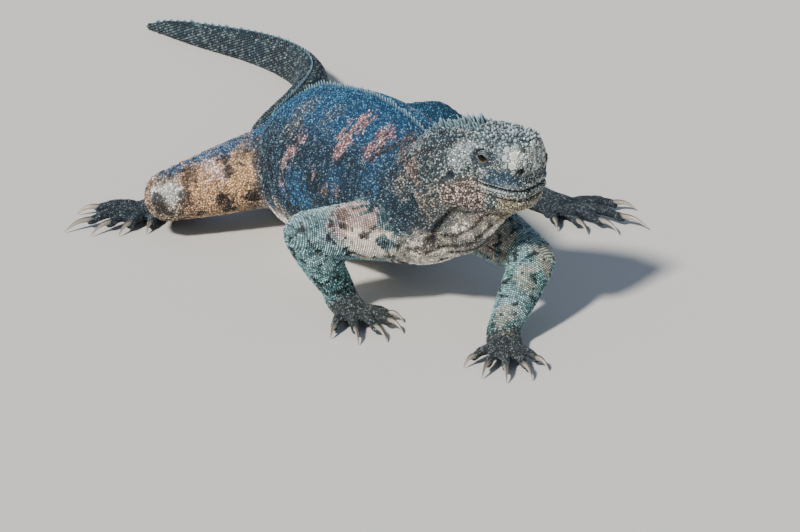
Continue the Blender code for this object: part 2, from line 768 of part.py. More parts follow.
def lid_opening(side):
    """An almond that widens outward from the eye, in the head's own frame."""
    place = Matrix.Translation((EYE_SPOT[0], side * (EYE_SPOT[1] + 0.008), EYE_SPOT[2]))

    def make(bm):
        bmesh.ops.create_cone(bm, cap_ends=True, segments=16, radius1=0.8, radius2=1.5, depth=0.016)
        for vert in bm.verts:
            x, y = vert.co.xy
            vert.co.x = x * 0.0042
            vert.co.y = y * (1 - 0.3 * abs(x)) * 0.0026

    return placed(placed(primitive(make), Matrix.Rotation(-side * math.pi / 2, 4, "X")), place)


def nostril(side):
    """A short slanted pit, in the head's own frame."""
    x, y, z = NOSTRIL
    place = Matrix.Translation((x, side * y, z)) @ Matrix.Rotation(-side * NOSTRIL_TURN, 4, "Z")
    place = place @ Matrix.Rotation(-side * math.pi / 2, 4, "X")
    place = place @ Matrix.Rotation(side * 0.7, 4, "Z") @ Matrix.Diagonal((1.35, 0.8, 1, 1))
    return primitive(lambda bm: bmesh.ops.create_cone(
        bm, cap_ends=True, segments=10, radius1=0.0010, radius2=0.0018, depth=0.008, matrix=place))


def open_head():
    """Eyes in their sockets, the almonds between the lids, and the nostrils."""
    frame = head_frame()
    cutters = []
    for name, side in (("eye_left", 1), ("eye_right", -1)):
        centre = frame @ Vector((EYE_SPOT[0], side * EYE_SPOT[1], EYE_SPOT[2]))
        mesh_object(name, ball(centre, EYE_RADIUS), OBJECT_NAME)
        cutters.append(ball(centre, EYE_RADIUS + CUT_GAP))
        cutters += [placed(lid_opening(side), frame), placed(nostril(side), frame)]
    head = bpy.data.objects["head"]
    cut(head, cutters)
    largest(head)


def spine(root, forward, height, length, width, lean):
    """A flattened upright spine, its root sunk below the surface point and its tip leaning back."""
    def make(bm):
        bmesh.ops.create_cone(bm, cap_ends=True, segments=4, radius1=0.58, radius2=0.32, depth=0.85)
        top = max(bm.faces, key=lambda face: face.calc_center_median().z)
        tip = bmesh.ops.poke(bm, faces=[top])["verts"][0]
        tip.co.z += 0.55
        for vert in bm.verts:
            share = vert.co.z + 0.025
            vert.co.x = vert.co.x * length - lean * height * max(0.0, share) ** 1.5
            vert.co.y *= width
            vert.co.z = share * height

    turn = Matrix.Rotation(math.atan2(forward.y, forward.x), 4, "Z")
    return placed(primitive(make), Matrix.Translation(root) @ turn)


def surface_tree(names):
    shapes = []
    for name in names:
        mesh = bpy.data.objects[name].data
        shapes.append((coordinates(mesh), [tuple(p.vertices) for p in mesh.polygons]))
    points, faces = joined(shapes)
    return BVHTree.FromPolygons([tuple(p) for p in points], faces)


def crest_stations():
    """Floor plan of the crest from the nape to the tail's tip, with each spine's size and spacing."""
    frame = head_frame()
    path = []
    for x in (0.024, 0.0195, 0.015, 0.0105):
        path.append((frame @ Vector((x, 0, 0)), "nape"))
    bend = smooth_rows([
        (*path[-1][0].xy, 0), (0.206, -0.006, 0), (0.190, -0.001, 0), (0.17, 0, 0), (0.10, 0, 0),
        (0.03, 0, 0), (-0.024, 0, 0),
    ], 40)[:, :2]
    gone, last = 0.0, bend[0]
    for spot in bend[1:]:
        gone += float(np.linalg.norm(spot - last))
        last = spot
        kind = "neck" if spot[0] > 0.186 else "back"
        if gone >= CREST[kind][0]:
            gone = 0.0
            path.append((Vector((*spot, 0)), kind))
    t = 0.012
    while t < 0.96:
        path.append((Vector((*tail_line(t), 0)), "tail"))
        t += CREST["tail"][0] / TAIL_LENGTH * (1 - 0.35 * t)
    return path


def add_crest():
    """Spines along the midline, each joined to the part under its root."""
    rng = random.Random(SEED)
    names = ("head", "neck", "chest", "rump") + TAIL_PARTS
    trees = {name: surface_tree([name]) for name in names}
    grown = {name: [] for name in names}
    stations = crest_stations()
    for k, (spot, kind) in enumerate(stations):
        behind = stations[min(k + 1, len(stations) - 1)][0]
        ahead = stations[max(k - 1, 0)][0]
        forward = unit(Vector((ahead.x - behind.x, ahead.y - behind.y, 0)))
        best = None
        for name in names:
            hit = trees[name].ray_cast(Vector((spot.x, spot.y, 0.3)), Vector((0, 0, -1)))
            if hit[0] is not None and (best is None or hit[0].z > best[1][0].z):
                best = (name, hit)
        # nothing grows in a gap, nor so near to one that a root would bridge it
        if best is None:
            continue
        name, hit = best
        if any(trees[other].find_nearest(hit[0])[3] < 0.0035 for other in names if other != name):
            continue
        _, height, length, width, lean = CREST[kind]
        size = rng.uniform(0.85, 1.12)
        if kind == "tail":
            size *= 1 - 0.45 * k / len(stations)
            width *= max(0.55, 1 - 0.6 * (k / len(stations)))
        grown[name].append(spine(hit[0], forward, height * size, length, width, lean))
    return grown


def scale_spots():
    """Conical scales on top of the head, in its own frame: where to cast from, the way, and the size."""
    rng = random.Random(SEED + 1)
    spots = []
    for row in range(9):
        x = 0.018 + row * 0.0053
        for column in range(-3, 4):
            y = (column + (0.5 if row % 2 else 0.0)) * 0.0055
            limit = 0.0165 if x < 0.045 else 0.0165 - (x - 0.045) * 0.26
            if abs(y) > limit:
                continue
            size = rng.uniform(0.9, 1.1) * (1.15 if abs(y) < 0.008 and x > 0.045 else 1.0)
            spots.append((Vector((x + rng.uniform(-4e-4, 4e-4), y + rng.uniform(-4e-4, 4e-4), 0.06)),
                          Vector((0, 0, -1)), size))
    return spots


def cone_scale(root, normal, width, height, sides=5):
    """A low cone on a surface point, its root sunk in."""
    sunk = 0.0009
    place = frame_at(root + normal * (height - sunk) / 2, normal, normal.orthogonal())
    return primitive(lambda bm: bmesh.ops.create_cone(
        bm, cap_ends=True, segments=sides, radius1=width * 0.58, radius2=0, depth=height + sunk,
        matrix=place))


def add_head_scales(grown):
    frame = head_frame()
    turn = frame.to_3x3()
    tree = surface_tree(["head"])
    for spot, way, size in scale_spots():
        hit = tree.ray_cast(frame @ spot, turn @ way)
        if hit[0] is None:
            continue
        grown["head"].append(cone_scale(hit[0], hit[1], 0.0054 * size, 0.0021 * size))
    for side in (-1, 1):
        for x, z, width, height in SNOUT_PLATES:
            hit = tree.ray_cast(frame @ Vector((x, side * 0.06, z)), turn @ Vector((0, -side, 0)))
            grown["head"].append(cone_scale(hit[0], hit[1], width, height, 6))


def finish_parts():
    """Colours, smooth shading and the origin at the middle of the footprint."""
    collection = bpy.data.collections[OBJECT_NAME]
    low = np.min([coordinates(item.data).min(axis=0) for item in collection.objects], axis=0)
    high = np.max([coordinates(item.data).max(axis=0) for item in collection.objects], axis=0)
    shift = np.array([(low[0] + high[0]) / 2, (low[1] + high[1]) / 2, 0.0])
    for item in collection.objects:
        moved_to(item.data, coordinates(item.data) - shift)
        family = next(key for key in COLOURS if item.name.startswith(key))
        material = bpy.data.materials.new(item.name)
        material.use_nodes = True
        shader = material.node_tree.nodes["Principled BSDF"]
        shader.inputs["Base Color"].default_value = (*COLOURS[family], 1)
        shader.inputs["Roughness"].default_value = 0.25 if family == "eye" else 0.7
        item.data.materials.clear()
        item.data.materials.append(material)
        for polygon in item.data.polygons:
            polygon.use_smooth = True


def main():
    clear_scene()
    for name in (OBJECT_NAME, "cutters"):
        bpy.context.scene.collection.children.link(bpy.data.collections.new(name))
    skin = whole_skin()
    simplified(skin)
    parted(skin)
    open_head()
    for foot in FEET:
        for number in range(5):
            mesh_object(f"claw_{foot}_{number + 1}", claw(foot, number), OBJECT_NAME)
    grown = add_crest()
    add_head_scales(grown)
    for name, spines in grown.items():
        if spines:
            cut(bpy.data.objects[name], spines, "UNION")
            largest(bpy.data.objects[name])
    finish_parts()


main()
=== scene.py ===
"""The looks of a life-size marine iguana: one skin, its scales, plates, spines, eyes and claws.

The flesh is lofted from the same sizes as the solids, in the body's own axes: X forward, Y to the
animal's left, Z up, with the hips near the origin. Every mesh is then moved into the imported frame.
Lengths are in metres.
"""

import itertools
import math

import bmesh
import bpy
import numpy as np
from mathutils import Matrix, Vector
from mathutils.bvhtree import BVHTree


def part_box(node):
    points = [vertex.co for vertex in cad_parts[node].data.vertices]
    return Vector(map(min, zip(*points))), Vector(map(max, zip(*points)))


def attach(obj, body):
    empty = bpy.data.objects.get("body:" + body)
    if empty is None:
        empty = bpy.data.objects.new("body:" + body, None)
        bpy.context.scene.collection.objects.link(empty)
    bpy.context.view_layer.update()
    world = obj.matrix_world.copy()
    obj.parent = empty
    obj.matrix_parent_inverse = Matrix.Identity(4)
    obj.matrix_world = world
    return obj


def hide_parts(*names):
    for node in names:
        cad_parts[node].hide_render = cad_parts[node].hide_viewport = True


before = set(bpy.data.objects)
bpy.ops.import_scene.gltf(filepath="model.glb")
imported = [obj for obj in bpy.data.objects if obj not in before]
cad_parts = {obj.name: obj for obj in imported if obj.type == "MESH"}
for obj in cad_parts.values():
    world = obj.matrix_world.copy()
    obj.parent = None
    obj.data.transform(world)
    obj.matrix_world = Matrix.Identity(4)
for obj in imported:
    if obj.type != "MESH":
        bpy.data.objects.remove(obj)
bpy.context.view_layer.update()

SKIN_CELL = 0.0016        # grid of the skin while it is made whole
COAT_DEPTH = 0.0004       # how far the skin lies under the solids' surface
FLOOR_SINK = 0.0009       # how far round undersides pass the floor before they are laid flat
SCATTER_TRIES = 480000    # random places tried for the scattered scales
RNG = np.random.default_rng(7)

# Where the head sits and how it is turned
HEAD_BASE = Vector((0.2100, -0.0030, 0.1080))
HEAD_TURN = math.radians(29)
HEAD_NOD = math.radians(1)

# Joint centres of the limbs, as (x, y, z)
LIMB_JOINTS = {
    "arm_right": ((0.172, -0.030, 0.056), (0.168, -0.086, 0.061), (0.160, -0.056, 0.0125)),
    "arm_left": ((0.176, 0.030, 0.056), (0.232, 0.047, 0.042), (0.263, 0.008, 0.0125)),
    "leg_right": ((0.000, -0.024, 0.042), (-0.008, -0.098, 0.030), (-0.058, -0.062, 0.0130)),
    "leg_left": ((0.002, 0.024, 0.042), (0.014, 0.086, 0.056), (0.040, 0.140, 0.0130)),
}

# Radii along a limb: root, middle of the upper bone, joint, middle of the lower bone, wrist
ARM_RADII = (0.0215, 0.0180, 0.0142, 0.0135, 0.0098)
LEG_RADII = (0.0270, 0.0230, 0.0170, 0.0150, 0.0105)

# Each foot: heading of its middle digit in degrees from +X, the length of its palm, and its
# digits as (angle from that heading, length with claw, rise of its arch)
FEET = {
    "hand_right": (-3, 0.019, (
        (46, 0.031, 0.0050), (24, 0.041, 0.0060), (4, 0.047, 0.0060), (-16, 0.046, 0.0060),
        (-38, 0.036, 0.0050),
    )),
    "hand_left": (-23, 0.019, (
        (-46, 0.031, 0.0050), (-21, 0.042, 0.0060), (-3, 0.048, 0.0060), (15, 0.046, 0.0060),
        (36, 0.036, 0.0050),
    )),
    "foot_right": (-73, 0.032, (
        (30, 0.030, 0.0040), (13, 0.042, 0.0050), (0, 0.054, 0.0060), (-13, 0.064, 0.0060),
        (-38, 0.046, 0.0050),
    )),
    "foot_left": (24, 0.032, (
        (-40, 0.030, 0.0045), (-21, 0.043, 0.0055), (-6, 0.056, 0.0060), (9, 0.066, 0.0060),
        (36, 0.048, 0.0050),
    )),
}
CLAW_SHARE = 0.36         # of a digit's length
DIGIT_RADIUS = (0.0042, 0.0037, 0.0031)  # at the knuckle, the middle and the claw's root

# The tail's headings in degrees from +X at shares of its length
TAIL_LENGTH = 0.400
TAIL_SHARES = (0.0, 0.10, 0.22, 0.42, 0.62, 0.78, 1.0)
TAIL_HEADINGS = (180, 158, 136, 143, 180, 204, 196)

# The head in its own axes: the mouth line from its corner to the snout, the eye and the nostril
MOUTH_X = (0.0360, 0.0430, 0.0530, 0.0620, 0.0720)
MOUTH_Z = (0.0044, 0.0024, 0.0008, 0.0002, -0.0006)
EYE_SPOT = (0.0382, 0.0168, 0.0190)
EYE_RADIUS = 0.0052
LID_THICKNESS = 0.00055
NOSTRIL = (0.0640, 0.0150, 0.0140)
NOSTRIL_TURN = math.radians(40)  # how far each faces forward
NOSTRIL_LEAN = 0.7               # of its long axis, in radians
NOSTRIL_HALF_SIZES = (0.0019, 0.0012)
EAR = (0.0170, 0.0250, 0.0038)
LIP_FOLD = -0.0072               # the fold under the lower lip, from the mouth line

# Round the eye, in its own axes: the socket's half sizes, where its folds start and their pitch in
# shares of the opening, and the ridges as height, slope, bend, first and last x, width and rise
SOCKET = (0.0092, 0.0056)
OPENING_HALF_LENGTH = 0.0032
OPENING_HALF_HEIGHTS = (0.0020, 0.0023)  # above and below
FOLD_START, FOLD_PITCH = 1.22, 0.55
EYE_RIDGES = (
    (0.0066, 0.00, -14, -0.0075, 0.0090, 0.0011, 0.0013),
    (-0.0080, 0.12, 0, -0.0030, 0.0040, 0.0008, 0.0010),
    (-0.0106, 0.12, 0, -0.0010, 0.0065, 0.0007, 0.0008),
)
STREAK = np.diag((2.2, 0.7, 0.7))        # draws the body's mottling out round it
OTHER_SIDE_SHIFT = (0.006, 0, -0.003)    # so that the two sides' patches aren't quite alike


def unit(v):
    return Vector(v).normalized()


def floor_way(degrees):
    """The way along the floor at a heading in degrees from +X."""
    angle = math.radians(degrees)
    return Vector((math.cos(angle), math.sin(angle), 0))


def moved_by(matrix, points):
    m = np.array(matrix)
    return points @ m[:3, :3].T + m[:3, 3]


def ring_quads(rings, sides):
    """Faces between neighbouring rings of points."""
    starts = [(r * sides + k, r * sides + (k + 1) % sides) for r in range(rings - 1) for k in range(sides)]
    return [(a, b, b + sides, a + sides) for a, b in starts]


def end_tris(rings, sides):
    """Triangles from the last ring to a point after it, and across the first ring."""
    last = (rings - 1) * sides
    tip = [(last + k, last + (k + 1) % sides, rings * sides) for k in range(sides)]
    return tip + [(0, k + 1, k) for k in range(1, sides - 1)]


def head_frame():
    """The head's own axes: origin at the back of the mouth line's level, X to the snout, Z up."""
    return (
        Matrix.Translation(HEAD_BASE)
        @ Matrix.Rotation(HEAD_TURN, 4, "Z")
        @ Matrix.Rotation(HEAD_NOD, 4, "Y")
    )


HEAD = head_frame()
EYE_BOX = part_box("eye_right")
SHIFT = np.array(HEAD @ Vector((EYE_SPOT[0], -EYE_SPOT[1], EYE_SPOT[2])) - (EYE_BOX[0] + EYE_BOX[1]) / 2)

# The camera: the photo's 800 x 532 frame, K metres to a pixel at the animal
ELEVATION = math.radians(21)
AZIMUTH = math.radians(63)
K = 0.00066
LENS, SENSOR = 400.0, 36.0
ANCHOR = Vector((0.0, -0.022, 0.040))     # a point of the body that shows at ANCHOR_PX
ANCHOR_PX = (278, 167)
CENTRE_PX = (400, 266)
CAMERA_DISTANCE = 2 * CENTRE_PX[0] * K * LENS / SENSOR


def camera_axes():
    """The camera's right, up and back, in body axes."""
    level = math.cos(ELEVATION)
    back = Vector((math.sin(AZIMUTH) * level, -math.cos(AZIMUTH) * level, math.sin(ELEVATION)))
    right = Vector((math.cos(AZIMUTH), math.sin(AZIMUTH), 0))
    return right, back.cross(right), back


def pixel_point(px, py):
    """A point of the picture plane through the anchor, in body axes."""
    right, up, _ = camera_axes()
    return ANCHOR + right * (px - ANCHOR_PX[0]) * K - up * (py - ANCHOR_PX[1]) * K


def photo_ray(px, py):
    """The start and the way of the camera's ray through a point of the photo's frame, in body axes."""
    _, _, back = camera_axes()
    start = pixel_point(*CENTRE_PX) + back * CAMERA_DISTANCE
    return start, unit(pixel_point(px, py) - start)


# Lofts, as in the solids


def smooth_rows(rows, steps):
    """Rows of numbers joined by a Catmull-Rom curve, with this many steps to a span."""
    rows = np.array(rows, float)
    padded = np.vstack([2 * rows[0] - rows[1], rows, 2 * rows[-1] - rows[-2]])
    found = []
    for i in range(1, len(padded) - 2):
        a, b, c, d = padded[i - 1], padded[i], padded[i + 1], padded[i + 2]
        for k in range(steps):
            t = k / steps
            found.append(
                0.5 * (2 * b + (c - a) * t + (2 * a - 5 * b + 4 * c - d) * t**2
                       + (3 * b - a - 3 * c + d) * t**3)
            )
    found.append(rows[-1])
    return np.array(found)


def tube(rows, sides=28, steps=4, up=(0, 0, 1), squareness=2.0, crown=None, blunt=(0.6, 0.6)):
    """A closed loft as (points, faces). A row is x, y, z, half width, rise and drop from the centre."""
    rows = smooth_rows(rows, steps)
    centres = rows[:, :3]
    along = np.gradient(centres, axis=0)
    along /= np.linalg.norm(along, axis=1)[:, None]
    first, last = rows[0], rows[-1]
    cap_steps = 3
    start, end = [], []
    for k in range(1, cap_steps + 1):
        angle = k / (cap_steps + 1) * math.pi / 2
        ends = ((first, -along[0], blunt[0], start), (last, along[-1], blunt[1], end))
        for row, direction, reach, out in ends:
            ring = row.copy()
            ring[:3] += direction * reach * row[3] * math.sin(angle)
            ring[3:] *= math.cos(angle)
            out.append(ring)
    dense = np.vstack([start[::-1], rows, end])
    along = np.vstack([[along[0]] * cap_steps, along, [along[-1]] * cap_steps])
    up = np.array(up, float)
    points = []
    for row, direction in zip(dense, along):
        left = np.cross(up, direction)
        left /= np.linalg.norm(left)
        top = np.cross(direction, left)
        for k in range(sides):
            angle = 2 * math.pi * k / sides
            c, s = math.cos(angle), math.sin(angle)
            power = 2 / (crown if crown and s > 0 else squareness)
            c = math.copysign(abs(c) ** power, c)
            s = math.copysign(abs(s) ** power, s)
            points.append(row[:3] + left * row[3] * c + top * (row[4] if s > 0 else row[5]) * s)
    rings = len(dense)
    points.append(first[:3] - along[0] * blunt[0] * first[3])
    points.append(last[:3] + along[-1] * blunt[1] * last[3])
    faces = ring_quads(rings, sides)
    for k in range(sides):
        faces.append((rings * sides, (k + 1) % sides, k))
        faces.append((rings * sides + 1, (rings - 1) * sides + k, (rings - 1) * sides + (k + 1) % sides))
    return np.array(points), faces


TRUNK_ROWS = (
    # x, y, z, half width, rise, drop
    (-0.034, 0.000, 0.0290, 0.020, 0.020, 0.0260),
    (-0.012, 0.000, 0.0400, 0.036, 0.033, 0.0380),
    (0.010, 0.000, 0.0470, 0.045, 0.0440, 0.0475),
    (0.036, 0.000, 0.0520, 0.050, 0.0515, 0.0538),
    (0.068, 0.000, 0.0580, 0.052, 0.0537, 0.0568),
    (0.104, 0.000, 0.0640, 0.050, 0.0548, 0.0520),
    (0.140, 0.000, 0.0690, 0.045, 0.0516, 0.0500),
    (0.170, 0.000, 0.0740, 0.039, 0.0455, 0.0460),
    (0.190, 0.000, 0.0800, 0.034, 0.0390, 0.0400),
)

NECK_ROWS = (
    (0.160, 0.000, 0.0760, 0.032, 0.038, 0.0380),
    (0.182, 0.000, 0.0860, 0.031, 0.033, 0.0400),
    (0.198, -0.001, 0.0960, 0.029, 0.029, 0.0360),
    (0.214, 0.000, 0.1080, 0.0265, 0.0285, 0.0320),
    (0.230, 0.009, 0.1080, 0.024, 0.024, 0.0250),
)

THROAT_ROWS = (
    (0.2476, 0.0191, 0.0953, 0.011, 0.010, 0.0120),
    (0.2365, 0.0134, 0.0902, 0.015, 0.012, 0.0160),
    (0.2261, 0.0080, 0.0800, 0.016, 0.014, 0.0190),
    (0.2175, 0.0033, 0.0699, 0.014, 0.014, 0.0200),
    (0.2000, -0.0005, 0.0600, 0.014, 0.014, 0.0190),
)

# The head in its own axes: x, half width, top and bottom
SKULL_ROWS = (
    (-0.0040, 0.0240, 0.0265, -0.0260),
    (0.0130, 0.0258, 0.0308, -0.0260),
    (0.0270, 0.0252, 0.0334, -0.0235),
    (0.0390, 0.0232, 0.0348, -0.0215),
    (0.0490, 0.0208, 0.0350, -0.0192),
    (0.0570, 0.0190, 0.0344, -0.0172),
    (0.0620, 0.0172, 0.0326, -0.0150),
)


def skull():
    """The head's loft, set on the neck."""
    rows = []
    for x, half_width, top, bottom in SKULL_ROWS:
        middle = (top + bottom) / 2
        rows.append((x, 0, middle, half_width, top - middle, middle - bottom))
    points, faces = tube(rows, sides=32, squareness=2.6, blunt=(0.5, 0.18))
    return moved_by(HEAD, points), faces


def tail_line(t):
    """The tail's centre on the floor plan, at a share t of its length."""
    points = 60
    x, y = -0.030, 0.0
    for k in range(round(t * points)):
        heading = math.radians(np.interp((k + 0.5) / points, TAIL_SHARES, TAIL_HEADINGS))
        x += math.cos(heading) * TAIL_LENGTH / points
        y += math.sin(heading) * TAIL_LENGTH / points
    return x, y


def tail_rows():
    rows = [(0.010, 0.0, 0.0300, 0.026, 0.024, 0.028)]
    spans = 12
    for k in range(spans + 1):
        t = k / spans
        x, y = tail_line(t)
        half_width = 0.0175 * (1 - t) ** 0.85 + 0.0016
        half_height = 0.0195 * (1 - t) ** 0.55 + 0.0026
        height = max(half_height - FLOOR_SINK, 0.0250 * (1 - t / 0.10))
        rows.append((x, y, height, half_width, half_height, half_height))
    return rows


def limb_rows(name):
    """Rows of the upper and of the lower bone."""
    radii = ARM_RADII if name.startswith("arm") else LEG_RADII
    root, middle, end = (Vector(p) for p in LIMB_JOINTS[name])
    upper = [(*root.lerp(middle, t), r, r, r) for t, r in ((0.0, radii[0]), (0.5, radii[1]), (1.0, radii[2]))]
    lower = [(*middle.lerp(end, t), r, r, r) for t, r in ((0.0, radii[2]), (0.45, radii[3]), (1.0, radii[4]))]
    return upper, lower


def limb(name):
    made = []
    for rows in limb_rows(name):
        lie = unit(Vector(rows[-1][:3]) - Vector(rows[0][:3]))
        up = (0, 0, 1) if abs(lie.z) < 0.8 else (1, 0, 0)
        made.append(tube(rows, sides=22, steps=3, up=up, blunt=(0.9, 0.8)))
    return made


def limb_end(foot):
    side = foot.split("_")[1]
    return Vector(LIMB_JOINTS[("arm_" if foot.startswith("hand") else "leg_") + side][2])


def digit_line(foot, number, t):
    """A point on a digit's centre line, t from its knuckle at 0 to its claw's tip at 1."""
    heading, palm, digits = FEET[foot]
    wrist = limb_end(foot)
    angle, length, arch = digits[number]
    spread = floor_way(heading + angle)
    knuckle = wrist + floor_way(heading) * palm * 0.55
    knuckle += spread * palm * 0.45
    along = spread * length * t
    rest = DIGIT_RADIUS[0] - FLOOR_SINK
    height = rest + arch * math.sin(math.pi * min(1.0, t * 1.12)) * (1 - 0.35 * t)
    height -= rest * max(0.0, t - 0.25) ** 1.3 * 1.32
    return Vector((knuckle.x, knuckle.y, height)) + along


def palm_rows(foot):
    heading, palm, _ = FEET[foot]
    wrist = limb_end(foot)
    forward = floor_way(heading)
    width = 0.0120 if foot.startswith("hand") else 0.0125
    thick = 0.0066
    rows = []
    for t, share in ((-0.35, 0.80), (0.0, 0.92), (0.55, 1.0), (1.0, 1.0)):
        spot = wrist + forward * palm * t
        level = wrist.z + (thick - FLOOR_SINK - wrist.z) * min(1.0, max(0.0, t + 0.35))
        rows.append((spot.x, spot.y, level, width * share, thick, level + FLOOR_SINK if t < 0.3 else thick))
    return rows


def digit_rows(foot, number):
    rows = []
    for k in range(9):
        t = k / 8 * (1 - CLAW_SHARE + 0.05)
        r = np.interp(t, (0, 0.4, 1 - CLAW_SHARE), DIGIT_RADIUS)
        # the joints of a digit stand out a little from its bones
        r *= 1 + 0.07 * math.cos(t / (1 - CLAW_SHARE) * 3 * 2 * math.pi)
        rows.append((*digit_line(foot, number, t), r, r, r))
    return rows


# Meshes


def linked(name, data):
    """A new object in the scene."""
    made = bpy.data.objects.new(name, data)
    bpy.context.scene.collection.objects.link(made)
    return made


def mesh_piece(name, points, tris, quads, material):
    """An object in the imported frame, from points in body axes."""
    points = np.asarray(points, float) - SHIFT
    tris = np.asarray(tris, np.int32).reshape(-1, 3)
    quads = np.asarray(quads, np.int32).reshape(-1, 4)
    mesh = bpy.data.meshes.new(name)
    mesh.vertices.add(len(points))
    mesh.vertices.foreach_set("co", points.astype(np.float32).ravel())
    corners = np.concatenate([tris.ravel(), quads.ravel()])
    mesh.loops.add(len(corners))
    mesh.loops.foreach_set("vertex_index", corners)
    starts = np.concatenate([np.arange(len(tris)) * 3, len(tris) * 3 + np.arange(len(quads)) * 4])
    mesh.polygons.add(len(starts))
    mesh.polygons.foreach_set("loop_start", starts.astype(np.int32))
    mesh.polygons.foreach_set("use_smooth", np.full(len(starts), True))
    mesh.update(calc_edges=True)
    mesh.validate()
    mesh.materials.append(material)
    return linked(name, mesh)


def read_rows(items, field, kind, width):
    """A field of a mesh's vertices, edges or corners, as rows of numbers."""
    found = np.empty(len(items) * width, kind)
    items.foreach_get(field, found)
    return found.reshape(-1, width)


def coordinates(mesh):
    return read_rows(mesh.vertices, "co", np.float32, 3).astype(float)


def normals_of(mesh):
    return read_rows(mesh.vertices, "normal", np.float32, 3).astype(float)


def moved_to(mesh, points):
    mesh.vertices.foreach_set("co", np.asarray(points, np.float32).ravel())
    mesh.update()


def relaxed(mesh, rounds, strength_at):
    """Moves each vertex towards its neighbours, as strongly as strength_at says for its place."""
    points = coordinates(mesh)
    count = len(points)
    edges = read_rows(mesh.edges, "vertices", np.int32, 2)
    degree = np.bincount(edges.ravel(), minlength=count)[:, None]
    strength = strength_at(points)[:, None]
    for _ in range(rounds):
        total = np.zeros_like(points)
        for axis in range(3):
            total[:, axis] = np.bincount(edges[:, 0], points[edges[:, 1], axis], count)
            total[:, axis] += np.bincount(edges[:, 1], points[edges[:, 0], axis], count)
        points += strength * (total / degree - points)
    moved_to(mesh, points)


def bell(value, width):
    """1 at nothing, fading over a width to both sides."""
    return np.exp(-((value / width) ** 2))


def near(points, spot, reach):
    """1 at the spot, fading to nothing over the reach."""
    return bell(np.linalg.norm(points - np.array(spot), axis=1), reach)


def ramp(value, low, high):
    """0 up to low, 1 from high, and smooth between them."""
    t = np.clip((value - low) / (high - low), 0, 1)
    return t * t * (3 - 2 * t)


def joint_strength(points):
    """Strong near the roots of the limbs and the neck, weak elsewhere."""
    strength = np.zeros(len(points))
    for joints in LIMB_JOINTS.values():
        root = Vector(joints[0]).lerp(Vector(joints[1]), 0.35)
        strength = np.maximum(strength, near(points, root, 0.034))
    for spot, reach in (((0.190, 0.0, 0.085), 0.036), (HEAD_BASE, 0.022), ((-0.02, 0, 0.03), 0.03)):
        strength = np.maximum(strength, near(points, spot, reach))
    return strength * 0.9


def head_local(points):
    """Points in the head's own axes."""
    return moved_by(HEAD.inverted(), points)


def one_side(local):
    """The head's points, all brought to its left side."""
    return np.column_stack([local[:, 0], np.abs(local[:, 1]), local[:, 2]])


def mouth_height(x):
    return np.interp(x, MOUTH_X, MOUTH_Z)


def value_noise(points, size, seed):
    """Smooth noise from -1 to 1, with cells of this size."""
    place = points / size + seed * 19.7
    cell = np.floor(place).astype(np.int64)
    part = place - cell
    part = part * part * (3 - 2 * part)
    total = np.zeros(len(points))
    for corner in range(8):
        step = np.array([corner & 1, (corner >> 1) & 1, (corner >> 2) & 1])
        n = cell + step
        h = (n[:, 0] * 73856093) ^ (n[:, 1] * 19349663) ^ (n[:, 2] * 83492791) ^ (seed * 7919)
        h = ((h ^ (h >> 13)) * 1274126177) & 0x7FFFFFFF
        h = ((h ^ (h >> 15)) * 2246822519) & 0x7FFFFFFF
        weight = np.prod(np.where(step, part, 1 - part), axis=1)
        total += weight * (h / 0x7FFFFFFF * 2 - 1)
    return total


def cloud(points, size, seed, octaves=3):
    """Noise of a few sizes, each half the one before."""
    total, share = np.zeros(len(points)), 1.0
    for k in range(octaves):
        total += share * value_noise(points, size / 2**k, seed + k)
        share *= 0.55
    return total / 1.8


# The lines that the parts of the flesh follow, for the lie of the scales and the markings

# Length of the scales on each kind of part
SCALE_LENGTHS = {
    "head": 0.00125, "neck": 0.00135, "throat": 0.00125, "trunk": 0.00135, "tail": 0.00190, "limb": 0.00150,
    "palm": 0.00135, "digit": 0.00120,
}


class Line:
    """A part's centre line: its points, radii, arc lengths and unit directions."""

    def __init__(self, name, rows, kind):
        rows = smooth_rows(rows, 6)
        self.name = name
        self.points = rows[:, :3]
        self.radii = (rows[:, 3] + (rows[:, 4] + rows[:, 5]) / 2) / 2
        spans = np.linalg.norm(np.diff(self.points, axis=0), axis=1)
        self.lengths = np.concatenate([[0], np.cumsum(spans)])
        along = np.gradient(self.points, axis=0)
        self.along = along / np.linalg.norm(along, axis=1)[:, None]
        self.spacing = SCALE_LENGTHS[kind]


def make_lines():
    """Every part's line, each running from the head or the trunk outwards."""
    skull_rows = []
    for x, half_width, top, bottom in SKULL_ROWS[::-1]:
        spot = HEAD @ Vector((x, 0, (top + bottom) / 2))
        skull_rows.append((*spot, half_width, (top - bottom) / 2, (top - bottom) / 2))
    made = [
        Line("head", skull_rows, "head"), Line("neck", NECK_ROWS[::-1], "neck"),
        Line("neck_throat", THROAT_ROWS, "throat"), Line("trunk", TRUNK_ROWS[::-1], "trunk"),
        Line("tail", tail_rows()[1:], "tail"),
    ]
    for name in LIMB_JOINTS:
        kind, side = name.split("_")
        bones = ("upper_arm_", "forearm_") if kind == "arm" else ("thigh_", "shank_")
        made += [Line(bone + side, rows, "limb") for bone, rows in zip(bones, limb_rows(name))]
    for foot in FEET:
        made.append(Line(foot, palm_rows(foot), "palm"))
        made += [Line(f"{foot}_{number}", digit_rows(foot, number), "digit") for number in range(5)]
    return made


LINES = make_lines()


def line_number(name):
    return next(k for k, line in enumerate(LINES) if line.name == name)


def line_distances(points):
    """For each point and line: the distance over the line's radius there, and the nearest place on it."""
    share = np.empty((len(points), len(LINES)), np.float32)
    where = np.empty((len(points), len(LINES)), np.int32)
    for i, line in enumerate(LINES):
        best = np.full(len(points), np.inf)
        for k in range(len(line.points)):
            distance = np.linalg.norm(points - line.points[k], axis=1) / line.radii[k]
            closer = distance < best
            best[closer] = distance[closer]
            where[closer, i] = k
        share[:, i] = best
    return share, where


# The skin


